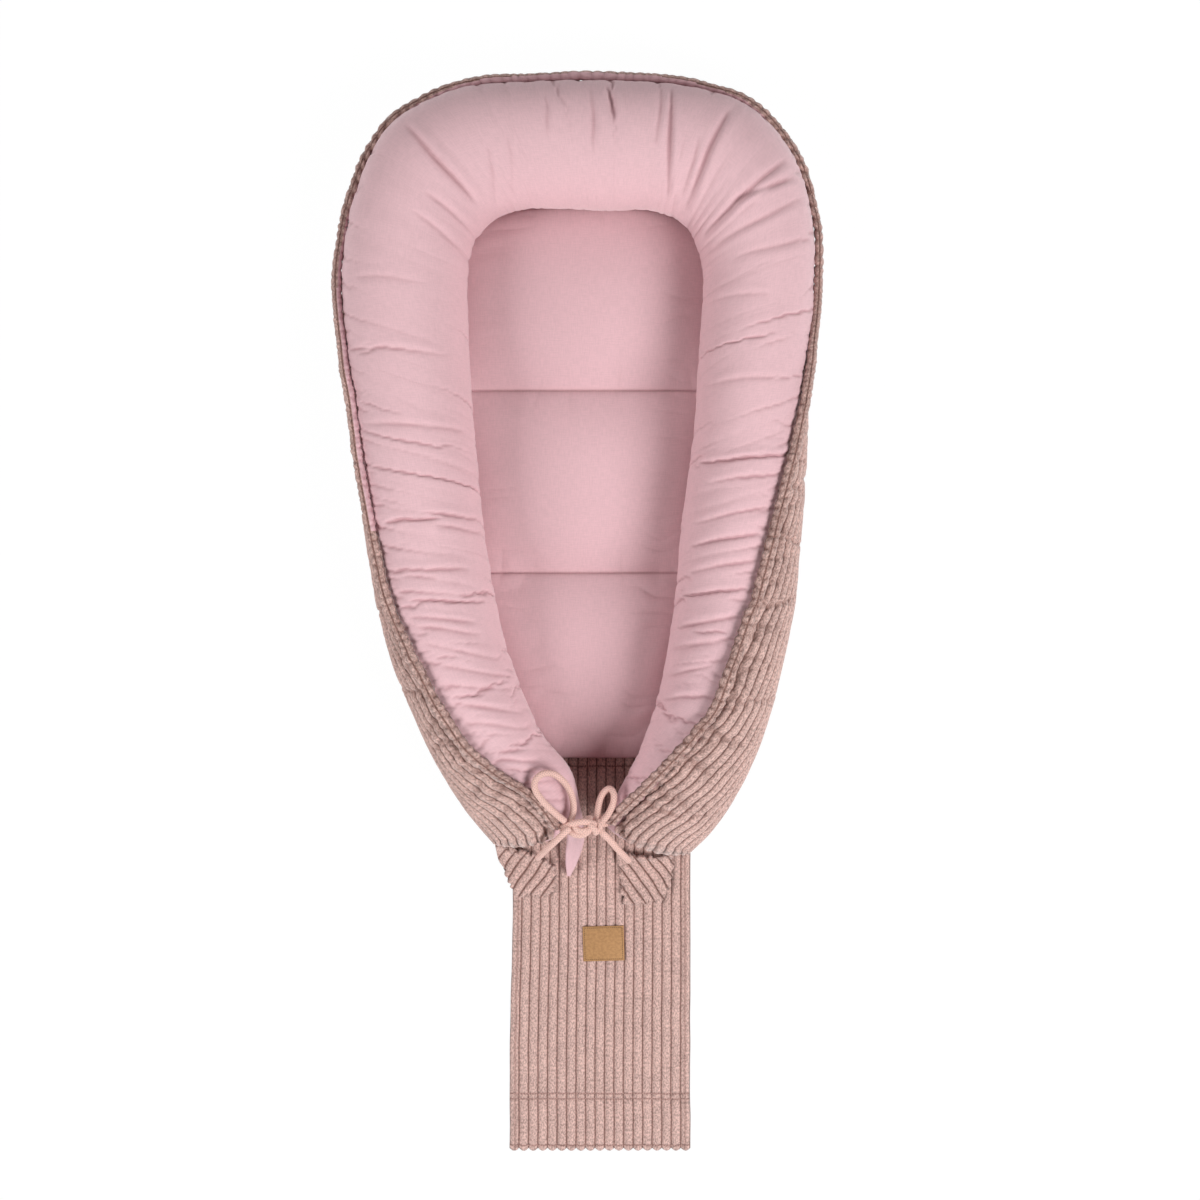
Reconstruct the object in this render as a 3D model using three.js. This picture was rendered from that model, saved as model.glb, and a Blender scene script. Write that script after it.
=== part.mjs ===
// Infant lounger with a padded U-shaped bolster, a three-chamber mattress and a foot flap.
// Millimetres, +Z up, +Y towards the head end. The origin is on the floor, under the middle
// of the lounger and its flap laid flat.

import * as THREE from 'three';
import { mergeVertices } from 'three/addons/utils/BufferGeometryUtils.js';

// Driving sizes
const nestWidth = 521; // across the bolster's outer edges
const nestLength = 843; // from the head edge to the ends of the arms
const sleepingWidth = 254; // between the bolster's inner edges
const sleepingLength = 601; // from the bolster at the head to the mattress's foot edge
const headBolsterWidth = 142;
const bolsterHeight = 130;
const armEndRound = 20; // how far the gathered arm ends round off
const mattressThickness = 28;
const mattressTuck = 12; // how far the mattress goes under the bolster's bulge
const flapWidth = 202;
const flapLength = 440; // from the mattress's foot edge to the flap's end
const flapFoldDistance = 178; // from the mattress's foot edge to the line where the flap folds
const flapOffset = 23; // of the flap from the nest's middle line
const hemDepth = 64;
const corduroyThickness = 2.5;
const cottonThickness = 1.3;
const cordDiameter = 7;
const casingBoreClearance = 0.6;
const casingWall = 1.3;
const clearance = 0.3;
const fillingClearance = 3; // slack between the filling and the inside of its cover
const waddingSlack = 2; // slack between the mattress's wadding and the inside of its cover
const threadWidth = 0.8;
const stitchInset = 6;
const labelWidth = 46;
const labelDepth = 39;
const labelThickness = 1.4;
const labelDistance = 10; // from the fold line
const labelOffset = 4; // to the right of the flap's centre line
const labelTiltDegrees = 1.5;
const labelStitchInset = 1.6;
const tabWidth = 62;
const tabDepth = 50;
const tabThickness = 8;
const tabDistance = 5; // from the rounded end of its arm
const tongueLength = 52; // along the floor, from the arm's rounded end to the tip

// Counts
const stationCount = 45;
const cottonSegments = 11;
const corduroySegments = 9;
const fillingSegments = 16;
const tubeSides = 8;
const roundTurnShares = [0.16, 0.32, 0.44]; // shares of a half turn, for the rounded arm ends

// Sizes that follow
const cordRadius = cordDiameter / 2;
const casingBore = cordRadius + casingBoreClearance;
const casingRadius = casingBore + casingWall;
const casingReach = 2 * casingRadius + clearance;
const overallLength = casingReach + headBolsterWidth + sleepingLength + flapLength;
const headY = overallLength / 2 - casingReach;
const innerHeadY = headY - headBolsterWidth;
const mattressFootY = innerHeadY - sleepingLength;
const foldY = mattressFootY - flapFoldDistance;
const flapEndY = mattressFootY - flapLength;
const liningTop = cottonThickness;
const flapTop = liningTop + clearance + corduroyThickness;
const armLift = flapTop + clearance; // the arm ends lie on the flap
const mattressBottom = flapTop + clearance;

// Section of the bolster: an ellipse that the floor flattens
const flatteningShare = 0.04;
const tongueShare = 0.5; // how far the corduroy reaches inwards under the bolster
const baseShare = 0.53; // where the cotton base lining meets the bolster
const seamGapShare = 0.004; // half the gap at the seam, of a turn

// The bolster from the end of the left arm round the head to the end of the right arm:
// outer edge across (of half nestWidth) and along (of nestLength), inner edge across (of half
// sleepingWidth) and along (of sleepingLength), height, lift over the flap, and the place of
// the seam between corduroy and cotton as a share of a half turn from the outer side.
const bolsterShares = [
  [-0.378, 0.987, 0.043, 1.104, 0.72, 1.0, 0.644],
  [-0.466, 0.954, -0.069, 1.013, 0.82, 1.0, 0.556],
  [-0.567, 0.906, -0.293, 0.955, 0.9, 1.0, 0.464],
  [-0.689, 0.831, -0.5, 0.86, 0.96, 0.4, 0.378],
  [-0.79, 0.753, -0.646, 0.767, 1.0, 0.0, 0.328],
  [-0.858, 0.672, -0.741, 0.67, 1.0, 0.0, 0.265],
  [-0.903, 0.588, -0.81, 0.57, 1.0, 0.0, 0.228],
  [-0.939, 0.497, -0.862, 0.461, 1.0, 0.0, 0.192],
  [-0.97, 0.413, -0.905, 0.343, 1.0, 0.0, 0.161],
  [-0.994, 0.328, -0.933, 0.224, 1.0, 0.0, 0.1],
  [-0.998, 0.238, -0.94, 0.119, 1.0, 0.0, 0.04],
  [-0.941, 0.147, -0.887, 0.06, 1.0, 0.0, 0.028],
  [-0.794, 0.06, -0.715, 0.018, 1.0, 0.0, 0.028],
  [-0.521, 0.013, -0.474, 0.0, 1.0, 0.0, 0.028],
  [-0.206, 0.001, -0.164, -0.002, 1.0, 0.0, 0.028],
  [0.13, 0.0, 0.233, 0.002, 1.0, 0.0, 0.028],
  [0.424, 0.006, 0.612, 0.002, 1.0, 0.0, 0.028],
  [0.71, 0.034, 0.888, 0.026, 1.0, 0.0, 0.028],
  [0.903, 0.101, 1.017, 0.073, 1.0, 0.0, 0.028],
  [0.985, 0.186, 1.058, 0.13, 1.0, 0.0, 0.033],
  [0.99, 0.276, 1.045, 0.193, 1.0, 0.0, 0.056],
  [0.979, 0.354, 1.015, 0.274, 1.0, 0.0, 0.14],
  [0.967, 0.439, 0.985, 0.383, 1.0, 0.0, 0.233],
  [0.956, 0.517, 0.935, 0.474, 1.0, 0.0, 0.31],
  [0.936, 0.601, 0.868, 0.579, 1.0, 0.0, 0.367],
  [0.908, 0.685, 0.823, 0.692, 1.0, 0.0, 0.422],
  [0.85, 0.77, 0.757, 0.791, 1.0, 0.4, 0.478],
  [0.765, 0.861, 0.646, 0.9, 0.96, 1.0, 0.55],
  [0.668, 0.926, 0.5, 0.984, 0.9, 1.0, 0.644],
  [0.565, 0.974, 0.35, 1.049, 0.82, 1.0, 0.728],
  [0.483, 1.0, 0.216, 1.107, 0.72, 1.0, 0.811],
];

// The mattress: rows along a chamber and columns across, as shares, and its drawn-in edges
const chamberEndShares = [0, 0.336, 0.667, 1]; // foot edge, two quilting lines, head edge
const chamberRowShares = [0, 0.03, 0.1, 0.25, 0.45, 0.65, 0.78, 0.88, 0.95, 1];
const columnShares = [0, 0.04, 0.12, 0.25, 0.38, 0.5, 0.62, 0.75, 0.88, 0.96, 1];
const threadEndShare = 0.12; // where a quilting thread starts and ends, of the mattress's width
const mattressEdgeShare = 0.42;
const quiltDipShare = 0.3;

// The bow's cord, as routes of points across, along and up
const leftLoopRoute = [
  [-7.5, -216.8, 95.8], [-5.5, -206, 94.5], [-6.5, -195, 95], [-10.5, -184, 98.5],
  [-18, -173.5, 104.5], [-28, -166.5, 111], [-38.5, -166.5, 116.5], [-46, -173.5, 119.5],
  [-46, -183, 120], [-40.5, -192, 118], [-33.5, -200.5, 114.5], [-26, -208, 110],
  [-19, -214.5, 105.5], [-14.5, -218.4, 102.3],
];
const rightLoopRoute = [
  [22.5, -214.3, 83.5], [29, -208.5, 88], [36.5, -203.5, 91.5], [39, -195, 92],
  [36, -187, 88.5], [30.5, -184, 81.5], [25.5, -187, 75], [23, -194.5, 71],
  [21.5, -203, 72.5], [17.5, -209.5, 78.5], [13, -213.8, 84.5],
];
const leftTailRoute = [
  [-9, -225, 105.2], [-16, -231, 105.5], [-23, -238, 102], [-30, -245, 95.5],
  [-36.5, -252, 86.5], [-41.5, -258, 76], [-44.5, -262, 65],
];
const rightTailRoute = [
  [17, -224.5, 96.8], [25, -231, 94.5], [33.5, -240, 89], [41.5, -250, 81.5],
  [49, -259, 71.5], [54.5, -266, 60],
];
const cordStepShare = 1.2; // from one ring of a cord to the next, of its diameter
const knotRadius = 7.5;
// The knot's outline: shares of its radius and of half its length
const knotShares = [[0, -1], [0.7, -1], [1, -0.55], [1, 0.55], [0.7, 1], [0, 1]];

const material = (color, roughness) => new THREE.MeshStandardMaterial({ color, roughness, metalness: 0 });
const corduroy = material(0xc2a29a, 0.9);
const cotton = material(0xdcb4b8, 0.85);
const wadding = material(0xf2f0ec, 1);
const cord = material(0xe0bcb0, 0.85);
const thread = material(0xb58c82, 0.8);
const gold = material(0xc09a68, 0.45);

const halfTurn = Math.PI;
const point = (x, y, z) => new THREE.Vector3(x, y, z);

// A closed body from triangles, with shared corners merged and its faces pointing out
function solid(triangles) {
  const loose = new THREE.BufferGeometry();
  const places = triangles.flatMap((corners) => corners.flatMap((p) => [p.x, p.y, p.z]));
  loose.setAttribute('position', new THREE.Float32BufferAttribute(places, 3));
  const geometry = mergeVertices(loose);
  const position = geometry.attributes.position;
  const kept = [];
  let volume = 0;
  for (let i = 0; i < geometry.index.count; i += 3) {
    const [a, b, c] = [0, 1, 2].map((k) => geometry.index.getX(i + k));
    if (a === b || b === c || a === c) continue;
    const [p, q, r] = [a, b, c].map((n) => new THREE.Vector3().fromBufferAttribute(position, n));
    volume += p.dot(q.cross(r));
    kept.push(a, b, c);
  }
  geometry.setIndex(volume < 0 ? kept.reverse() : kept);
  geometry.computeVertexNormals();
  return geometry;
}

const quad = (a, b, c, d) => [[a, b, c], [a, c, d]];

// A closed sheet between two grids of points; around closes each row on itself
function sheet(outer, inner, around = false) {
  const faces = [];
  const rows = outer.length;
  const columns = outer[0].length;
  const steps = around ? columns : columns - 1;
  for (let j = 0; j < rows - 1; j += 1) {
    for (let k = 0; k < steps; k += 1) {
      const next = (k + 1) % columns;
      faces.push(...quad(outer[j][k], outer[j][next], outer[j + 1][next], outer[j + 1][k]));
      faces.push(...quad(inner[j][k], inner[j + 1][k], inner[j + 1][next], inner[j][next]));
    }
    if (!around) {
      const last = columns - 1;
      faces.push(...quad(outer[j][0], outer[j + 1][0], inner[j + 1][0], inner[j][0]));
      faces.push(...quad(outer[j + 1][last], outer[j][last], inner[j][last], inner[j + 1][last]));
    }
  }
  const end = rows - 1;
  for (let k = 0; k < steps; k += 1) {
    const next = (k + 1) % columns;
    faces.push(...quad(outer[0][next], outer[0][k], inner[0][k], inner[0][next]));
    faces.push(...quad(outer[end][k], outer[end][next], inner[end][next], inner[end][k]));
  }
  return solid(faces);
}

// A closed solid through rings of points, with flat ends
function loft(rings) {
  const faces = [];
  const count = rings[0].length;
  for (let j = 0; j < rings.length - 1; j += 1) {
    for (let k = 0; k < count; k += 1) {
      const next = (k + 1) % count;
      faces.push(...quad(rings[j][k], rings[j][next], rings[j + 1][next], rings[j + 1][k]));
    }
  }
  const [first, last] = [rings[0], rings[rings.length - 1]];
  for (let k = 1; k < count - 1; k += 1) {
    faces.push([first[0], first[k + 1], first[k]]);
    faces.push([last[0], last[k], last[k + 1]]);
  }
  return solid(faces);
}

// The bolster's stations, evenly spaced along its outer edge
const outerEdge = new THREE.CatmullRomCurve3(
  bolsterShares.map(([x, y]) => point((x * nestWidth) / 2, headY - y * nestLength, 0)),
);
const innerEdge = new THREE.CatmullRomCurve3(
  bolsterShares.map(([, , x, y]) => point((x * sleepingWidth) / 2, innerHeadY - y * sleepingLength, 0)),
);
const profile = new THREE.CatmullRomCurve3(
  bolsterShares.map(([, , , , height, lift, seam]) => point(height, lift, seam)),
);

function station(share) {
  const t = outerEdge.getUtoTmapping(share);
  const outer = outerEdge.getPoint(t);
  const inner = innerEdge.getPoint(t);
  const { x: height, y: lift, z: seam } = profile.getPoint(t);
  return {
    centre: outer.clone().add(inner).multiplyScalar(1 / 2),
    outward: outer.clone().sub(inner).normalize(),
    halfWidth: outer.distanceTo(inner) / 2,
    height: height * bolsterHeight,
    lift: THREE.MathUtils.clamp(lift, 0, 1) * armLift,
    seam: seam * halfTurn,
    scale: 1,
  };
}

const stations = Array.from({ length: stationCount + 1 }, (_, n) => station(n / stationCount));
const leftArm = stations[0];
const rightArm = stations[stationCount];

// Stations that draw in round the end of an arm
function armEnd(last, towards) {
  const along = point(-last.outward.y, last.outward.x, 0);
  along.multiplyScalar(Math.sign(along.dot(towards)));
  return roundTurnShares.map((share) => ({
    ...last,
    centre: last.centre.clone().addScaledVector(along, armEndRound * Math.sin(share * halfTurn)),
    scale: Math.cos(share * halfTurn),
  }));
}

const footwards = point(0, -1, 0);
const roundedStations = [
  ...armEnd(leftArm, footwards).reverse(),
  ...stations,
  ...armEnd(rightArm, footwards),
];

// A point of the bolster's section: turn from the outer side over the top, inset from the surface
function sectionPoint(place, turn, inset, lowest) {
  const { centre, outward, halfWidth, height, lift, scale } = place;
  const half = (height * (1 + flatteningShare)) / 2;
  const middle = height - half;
  const across = (halfWidth * scale - inset) * Math.cos(turn);
  const up = middle + (half * scale - inset) * Math.sin(turn);
  const spot = centre.clone().addScaledVector(outward, across);
  return spot.setZ(lift + Math.max(up, lowest));
}

// A point on the floor side of the section, at a signed share of its half width
function flatPoint(place, share, gap, z) {
  const across = share * place.halfWidth * place.scale - gap;
  return place.centre.clone().addScaledVector(place.outward, across).setZ(place.lift + z);
}

function spread(count, from, to) {
  return Array.from({ length: count + 1 }, (_, n) => from + ((to - from) * n) / count);
}

// The cotton lining, from the seam over the top and down the inner side to the base
function cottonRow(place, inset) {
  const half = (place.height * (1 + flatteningShare)) / 2;
  const proud = corduroyThickness - cottonThickness;
  const seat = corduroyThickness + clearance;
  const drop = (place.height - half - seat) / (half * place.scale - proud);
  const last = halfTurn + Math.asin(Math.min(1, drop));
  const first = place.seam + seamGapShare * halfTurn;
  return spread(cottonSegments, first, last).map((turn) => sectionPoint(place, turn, inset, seat));
}

// The corduroy, from under the bolster's inner half round the outside up to the seam
function corduroyRow(place, inset) {
  const corner = Math.asin(-(1 - flatteningShare) / (1 + flatteningShare));
  const last = place.seam - seamGapShare * halfTurn;
  return [
    flatPoint(place, -tongueShare, 0, inset),
    flatPoint(place, 0, 0, inset),
    ...spread(corduroySegments, corner, last).map((turn) => sectionPoint(place, turn, inset, inset)),
  ];
}

function fillingRing(place) {
  const inset = corduroyThickness + fillingClearance;
  const lowest = corduroyThickness + clearance;
  const turns = spread(fillingSegments, 0, 2 * halfTurn).slice(0, fillingSegments);
  return turns.map((turn) => sectionPoint(place, turn, inset, lowest));
}

// Rings round the line where the drawstring runs, just outside the seam
const seamCentre = (place) => sectionPoint(place, place.seam, -(casingRadius + clearance), 0);

function seamRing(place, radius) {
  const turns = spread(tubeSides, 0, 2 * halfTurn).slice(0, tubeSides);
  const centre = seamCentre(place);
  return turns.map((turn) => {
    const spot = centre.clone().addScaledVector(place.outward, radius * Math.cos(turn));
    return spot.setZ(centre.z + radius * Math.sin(turn));
  });
}

const bolsterCotton = sheet(
  roundedStations.map((place) => cottonRow(place, corduroyThickness - cottonThickness)),
  roundedStations.map((place) => cottonRow(place, corduroyThickness)),
);
const bolsterCorduroy = sheet(
  roundedStations.map((place) => corduroyRow(place, 0)),
  roundedStations.map((place) => corduroyRow(place, corduroyThickness)),
);
const bolsterFilling = loft(stations.map(fillingRing));
const casing = sheet(
  stations.map((place) => seamRing(place, casingRadius)),
  stations.map((place) => seamRing(place, casingBore)),
  true,
);
const drawstring = loft(stations.map((place) => seamRing(place, cordRadius)));

// Where a line across the nest at one place along it meets the bolster's inner side
function crossing(edge, y) {
  for (let n = 1; n < edge.length; n += 1) {
    const [a, b] = [edge[n - 1], edge[n]];
    if ((a.y - y) * (b.y - y) <= 0 && a.y !== b.y) return a.x + ((b.x - a.x) * (y - a.y)) / (b.y - a.y);
  }
  return null;
}

// An outline inside the bolster, as the places of its left and right edges at each row
function outline(edge, footY, rowShares, headInset) {
  const tip = Math.max(...edge.map((p) => p.y)) - headInset;
  const middle = edge.findIndex((p) => p.y === Math.max(...edge.map((q) => q.y)));
  const [left, right] = [edge.slice(0, middle + 1), edge.slice(middle).reverse()];
  return rowShares.map((share) => {
    const y = footY + share * (tip - footY);
    return { y, left: crossing(left, y), right: crossing(right, y) };
  });
}

// Rows of a flat sheet, closer together towards the rounded head
const sheetRows = 40;
const plainRowShares = spread(sheetRows, 0, 1).map((share) => 1 - (1 - share) ** 2);

// A flat sheet that fills an outline
function flatSheet(rows, bottom, thickness) {
  const grid = (z) => rows.map(({ y, left, right }) => [point(left, y, z), point(right, y, z)]);
  return sheet(grid(bottom + thickness), grid(bottom));
}

const baseGap = 2 * clearance;
const baseEdge = (share) => stations.map((place) => flatPoint(place, -share, baseGap, 0));
const baseCorduroy = flatSheet(
  outline(baseEdge(tongueShare), mattressFootY, plainRowShares, clearance), 0, corduroyThickness,
);
const baseLining = flatSheet(
  outline(baseEdge(baseShare), mattressFootY, plainRowShares, clearance),
  corduroyThickness + clearance, cottonThickness - clearance,
);

// The mattress, as rows of its outline by chamber
const mattressEdge = stations.map((place) => flatPoint(place, -1, -mattressTuck, 0));
const chamberRows = (n) => chamberRowShares.map(
  (share) => chamberEndShares[n] + share * (chamberEndShares[n + 1] - chamberEndShares[n]),
);

const mattressSeat = mattressBottom + cottonThickness + clearance;
const mattressCrown = mattressThickness - cottonThickness - clearance;

// How high the cover stands over its seat: full in a chamber's middle, drawn in at its edges
function crownShare(across, along) {
  const sideways = 1 - Math.abs(2 * across - 1) ** 4;
  const lengthways = 1 - Math.abs(2 * along - 1) ** 3;
  const side = mattressEdgeShare + (1 - mattressEdgeShare) * sideways;
  return side * (quiltDipShare + (1 - quiltDipShare) * lengthways);
}

function mattressGrid(numbers, inset, drop) {
  const rows = numbers.flatMap((n) => outline(mattressEdge, mattressFootY, chamberRows(n), clearance)
    .map((row, j) => ({ ...row, along: chamberRowShares[j] })));
  const [first, last] = [rows[0].y, rows[rows.length - 1].y];
  const middleY = (first + last) / 2;
  const shrinkY = (last - first - 2 * inset) / (last - first);
  return rows.map(({ y, left, right, along }) => columnShares.map((across) => {
    const x = left + inset + across * (right - left - 2 * inset);
    const z = mattressSeat + mattressCrown * crownShare(across, along) - drop;
    return point(x, middleY + (y - middleY) * shrinkY, z);
  }));
}

// Adds an upright rim all round a grid of points, down to a level
function withRim(grid, z) {
  const lower = (p) => p.clone().setZ(z);
  const rows = grid.map((row) => [lower(row[0]), ...row, lower(row[row.length - 1])]);
  return [rows[0].map(lower), ...rows, rows[rows.length - 1].map(lower)];
}

const allChambers = [0, 1, 2];
const mattressTopCover = sheet(
  withRim(mattressGrid(allChambers, 0, 0), mattressSeat),
  withRim(mattressGrid(allChambers, cottonThickness, cottonThickness), mattressSeat),
);
const mattressBottomCover = flatSheet(
  outline(mattressEdge, mattressFootY, allChambers.flatMap(chamberRows), clearance),
  mattressBottom, cottonThickness,
);
const waddingInset = cottonThickness + clearance + waddingSlack;

function waddingChamber(n) {
  const top = mattressGrid([n], waddingInset, waddingInset);
  const bottom = top.map((row) => row.map((p) => p.clone().setZ(mattressSeat)));
  return sheet(top, bottom);
}

// A bar of thread, laid between two points
function threadBar(from, to) {
  const bar = new THREE.BoxGeometry(from.distanceTo(to), threadWidth, threadWidth);
  const turn = new THREE.Quaternion().setFromUnitVectors(point(1, 0, 0), to.clone().sub(from).normalize());
  bar.applyQuaternion(turn);
  const middle = from.clone().add(to).multiplyScalar(1 / 2);
  return bar.translate(middle.x, middle.y, middle.z);
}

function quiltingThread(n) {
  const [row] = outline(mattressEdge, mattressFootY, [chamberEndShares[n]], clearance);
  const z = mattressSeat + mattressCrown * quiltDipShare + clearance + threadWidth / 2;
  const indent = threadEndShare * (row.right - row.left);
  return threadBar(point(row.left + indent, row.y, z), point(row.right - indent, row.y, z));
}

// The flap: a fixed neck under the arm ends, then the part that folds
const flapLeft = flapOffset - flapWidth / 2;
const flapRight = flapOffset + flapWidth / 2;

function flapSheet(fromY, toY, bottom, top) {
  const box = new THREE.BoxGeometry(flapWidth, fromY - toY, top - bottom);
  return box.translate(flapOffset, (fromY + toY) / 2, (top + bottom) / 2);
}

const corduroyBottom = liningTop + clearance;
const hemY = flapEndY + hemDepth;
const neckStart = mattressFootY - clearance;
const neckEnd = foldY + clearance;
const flapStart = foldY - clearance;
const threadZ = flapTop + clearance + threadWidth / 2;
const stitchRows = {
  upper: hemY,
  lower: hemY - stitchInset,
  end: flapEndY + stitchInset,
};
const acrossThread = (y) => threadBar(
  point(flapLeft + stitchInset + threadWidth, y, threadZ),
  point(flapRight - stitchInset - threadWidth, y, threadZ),
);
const alongThread = (x) => threadBar(
  point(x, flapStart - stitchInset, threadZ),
  point(x, hemY + stitchInset, threadZ),
);

// The label: a bare patch with a line of stitching round it
const labelX = flapOffset + labelOffset;
const labelY = flapStart - labelDistance - labelDepth / 2;
const labelTop = flapTop + clearance + labelThickness;

function labelPatch() {
  const patch = new THREE.BoxGeometry(labelWidth, labelDepth, labelThickness);
  return patch.translate(0, 0, labelTop - labelThickness / 2);
}

function labelStitching() {
  const rectangle = (inset) => {
    const [x, y] = [labelWidth / 2 - inset, labelDepth / 2 - inset];
    return [[-x, -y], [x, -y], [x, y], [-x, y]].map(([a, b]) => new THREE.Vector2(a, b));
  };
  const frame = new THREE.Shape(rectangle(labelStitchInset));
  frame.holes.push(new THREE.Path(rectangle(labelStitchInset + threadWidth).reverse()));
  const line = new THREE.ExtrudeGeometry(frame, { depth: threadWidth, bevelEnabled: false });
  return line.translate(0, 0, labelTop + clearance);
}

// The corduroy tabs that the cover ends in, past the drawstring: crowned and lying on the flap
const tabRowShares = [0, 0.12, 0.35, 0.65, 0.88, 1];
const leftTabShares = { shift: -0.234, lean: 0.18, drop: -0.28 };
const rightTabShares = { shift: -0.123, lean: 0.04, drop: 0.12 };

function tabGeometry(arm, shares) {
  const x = arm.centre.x + shares.shift * tabWidth;
  const y = arm.centre.y - armEndRound - tabDistance;
  const grid = (top) => tabRowShares.map((down) => tabRowShares.map((across) => {
    const side = across - 1 / 2;
    const crown = (1 - Math.abs(2 * side) ** 3) * (1 - Math.abs(2 * down - 1) ** 3);
    const px = x + side * tabWidth + shares.lean * tabWidth * down;
    const py = y - down * tabDepth + shares.drop * tabWidth * side * (1 - down / 2);
    const pz = armLift + (top ? corduroyThickness + (tabThickness - corduroyThickness) * crown : 0);
    return point(px, py, pz);
  }));
  return sheet(grid(true), grid(false));
}

// The cotton end of the left arm, a tongue that hangs from the rounded end down to the flap
const tongueWidthShares = [1, 0.9, 0.62, 0.15];

function cottonTongue() {
  const corners = armEnd(leftArm, footwards).slice(0, 2);
  const [right, left] = corners.map((place) => sectionPoint(place, halfTurn, -clearance, 0));
  const start = left.clone().add(right).multiplyScalar(1 / 2);
  const end = start.clone().addScaledVector(footwards, tongueLength).setZ(armLift + cottonThickness);
  const halfAcross = right.clone().sub(left).multiplyScalar(1 / 2);
  const rows = tongueWidthShares.map((width, n) => {
    const middle = start.clone().lerp(end, n / (tongueWidthShares.length - 1));
    return [-width, width].map((side) => middle.clone().addScaledVector(halfAcross, side));
  });
  const under = rows.map((row) => row.map((p) => p.clone().add(point(0, 0, -cottonThickness))));
  return sheet(rows, under);
}

// The bow: cord of one size through a route of points
function cordAlong(route) {
  const circle = new THREE.Shape();
  circle.absarc(0, 0, cordRadius, 0, 2 * halfTurn);
  const path = new THREE.CatmullRomCurve3(route.map((p) => point(...p)));
  const steps = Math.ceil(path.getLength() / (cordStepShare * cordDiameter));
  return new THREE.ExtrudeGeometry(circle, {
    extrudePath: path, steps, curveSegments: tubeSides, bevelEnabled: false,
  });
}

// The knot is drawn tight between the two ends of the casing
function knot() {
  const [from, to] = [leftArm, rightArm].map(seamCentre);
  const half = from.distanceTo(to) / 2 - casingRadius - clearance;
  const outlinePoints = knotShares.map(([r, h]) => new THREE.Vector2(r * knotRadius, h * half));
  const body = new THREE.LatheGeometry(outlinePoints, 2 * tubeSides);
  body.deleteAttribute('normal');
  body.deleteAttribute('uv');
  const along = to.clone().sub(from).normalize();
  body.applyQuaternion(new THREE.Quaternion().setFromUnitVectors(point(0, 1, 0), along));
  const middle = from.clone().add(to).multiplyScalar(1 / 2);
  return mergeVertices(body.translate(middle.x, middle.y, middle.z));
}

// The assembly
const lounger = new THREE.Group();
const nest = new THREE.Group();
const flap = new THREE.Group();
const leftTab = new THREE.Group();
const rightTab = new THREE.Group();
lounger.add(nest, flap, leftTab, rightTab);

function add(group, name, geometry, finish) {
  const mesh = new THREE.Mesh(geometry, finish);
  mesh.name = name;
  group.add(mesh);
  return mesh;
}

add(nest, 'base_corduroy', baseCorduroy, corduroy);
add(nest, 'base_lining', baseLining, cotton);
add(nest, 'bolster_corduroy_cover', bolsterCorduroy, corduroy);
add(nest, 'bolster_cotton_cover', bolsterCotton, cotton);
add(nest, 'bolster_filling', bolsterFilling, wadding);
add(nest, 'drawstring_casing', casing, corduroy);
add(nest, 'drawstring', drawstring, cord);
add(nest, 'bow_knot', knot(), cord);
add(nest, 'bow_loop_left', cordAlong(leftLoopRoute), cord);
add(nest, 'bow_loop_right', cordAlong(rightLoopRoute), cord);
add(nest, 'bow_tail_left', cordAlong(leftTailRoute), cord);
add(nest, 'bow_tail_right', cordAlong(rightTailRoute), cord);
add(nest, 'mattress_top_cover', mattressTopCover, cotton);
add(nest, 'mattress_bottom_cover', mattressBottomCover, cotton);
add(nest, 'mattress_wadding_foot', waddingChamber(0), wadding);
add(nest, 'mattress_wadding_middle', waddingChamber(1), wadding);
add(nest, 'mattress_wadding_head', waddingChamber(2), wadding);
add(nest, 'quilting_thread_lower', quiltingThread(1), thread);
add(nest, 'quilting_thread_upper', quiltingThread(2), thread);
add(nest, 'arm_end_cotton_tongue', cottonTongue(), cotton);
add(nest, 'flap_neck_lining', flapSheet(neckStart, neckEnd, 0, liningTop), cotton);
add(nest, 'flap_neck_corduroy', flapSheet(neckStart, neckEnd, corduroyBottom, flapTop), corduroy);
add(flap, 'flap_lining', flapSheet(flapStart, hemY + clearance, 0, liningTop), cotton);
add(flap, 'flap_hem', flapSheet(hemY, flapEndY, 0, liningTop), corduroy);
add(flap, 'flap_corduroy', flapSheet(flapStart, flapEndY, corduroyBottom, flapTop), corduroy);
add(flap, 'flap_hem_stitching_upper', acrossThread(stitchRows.upper), thread);
add(flap, 'flap_hem_stitching_lower', acrossThread(stitchRows.lower), thread);
add(flap, 'flap_end_stitching', acrossThread(stitchRows.end), thread);
add(flap, 'flap_edge_stitching_left', alongThread(flapLeft + stitchInset), thread);
add(flap, 'flap_edge_stitching_right', alongThread(flapRight - stitchInset), thread);
add(leftTab, 'end_tab_left', tabGeometry(leftArm, leftTabShares), corduroy);
add(rightTab, 'end_tab_right', tabGeometry(rightArm, rightTabShares), corduroy);

const label = new THREE.Group();
label.position.set(labelX, labelY, 0);
label.rotation.z = THREE.MathUtils.degToRad(labelTiltDegrees);
flap.add(label);
add(label, 'label_patch', labelPatch(), gold);
add(label, 'label_stitching', labelStitching(), thread);

export default lounger;
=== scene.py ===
"""Infant lounger: a drawstring bolster in cotton and corduroy, a quilted mattress and a foot flap.

Metres, +Z up, +Y towards the head end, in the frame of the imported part.
"""

import math

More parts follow.
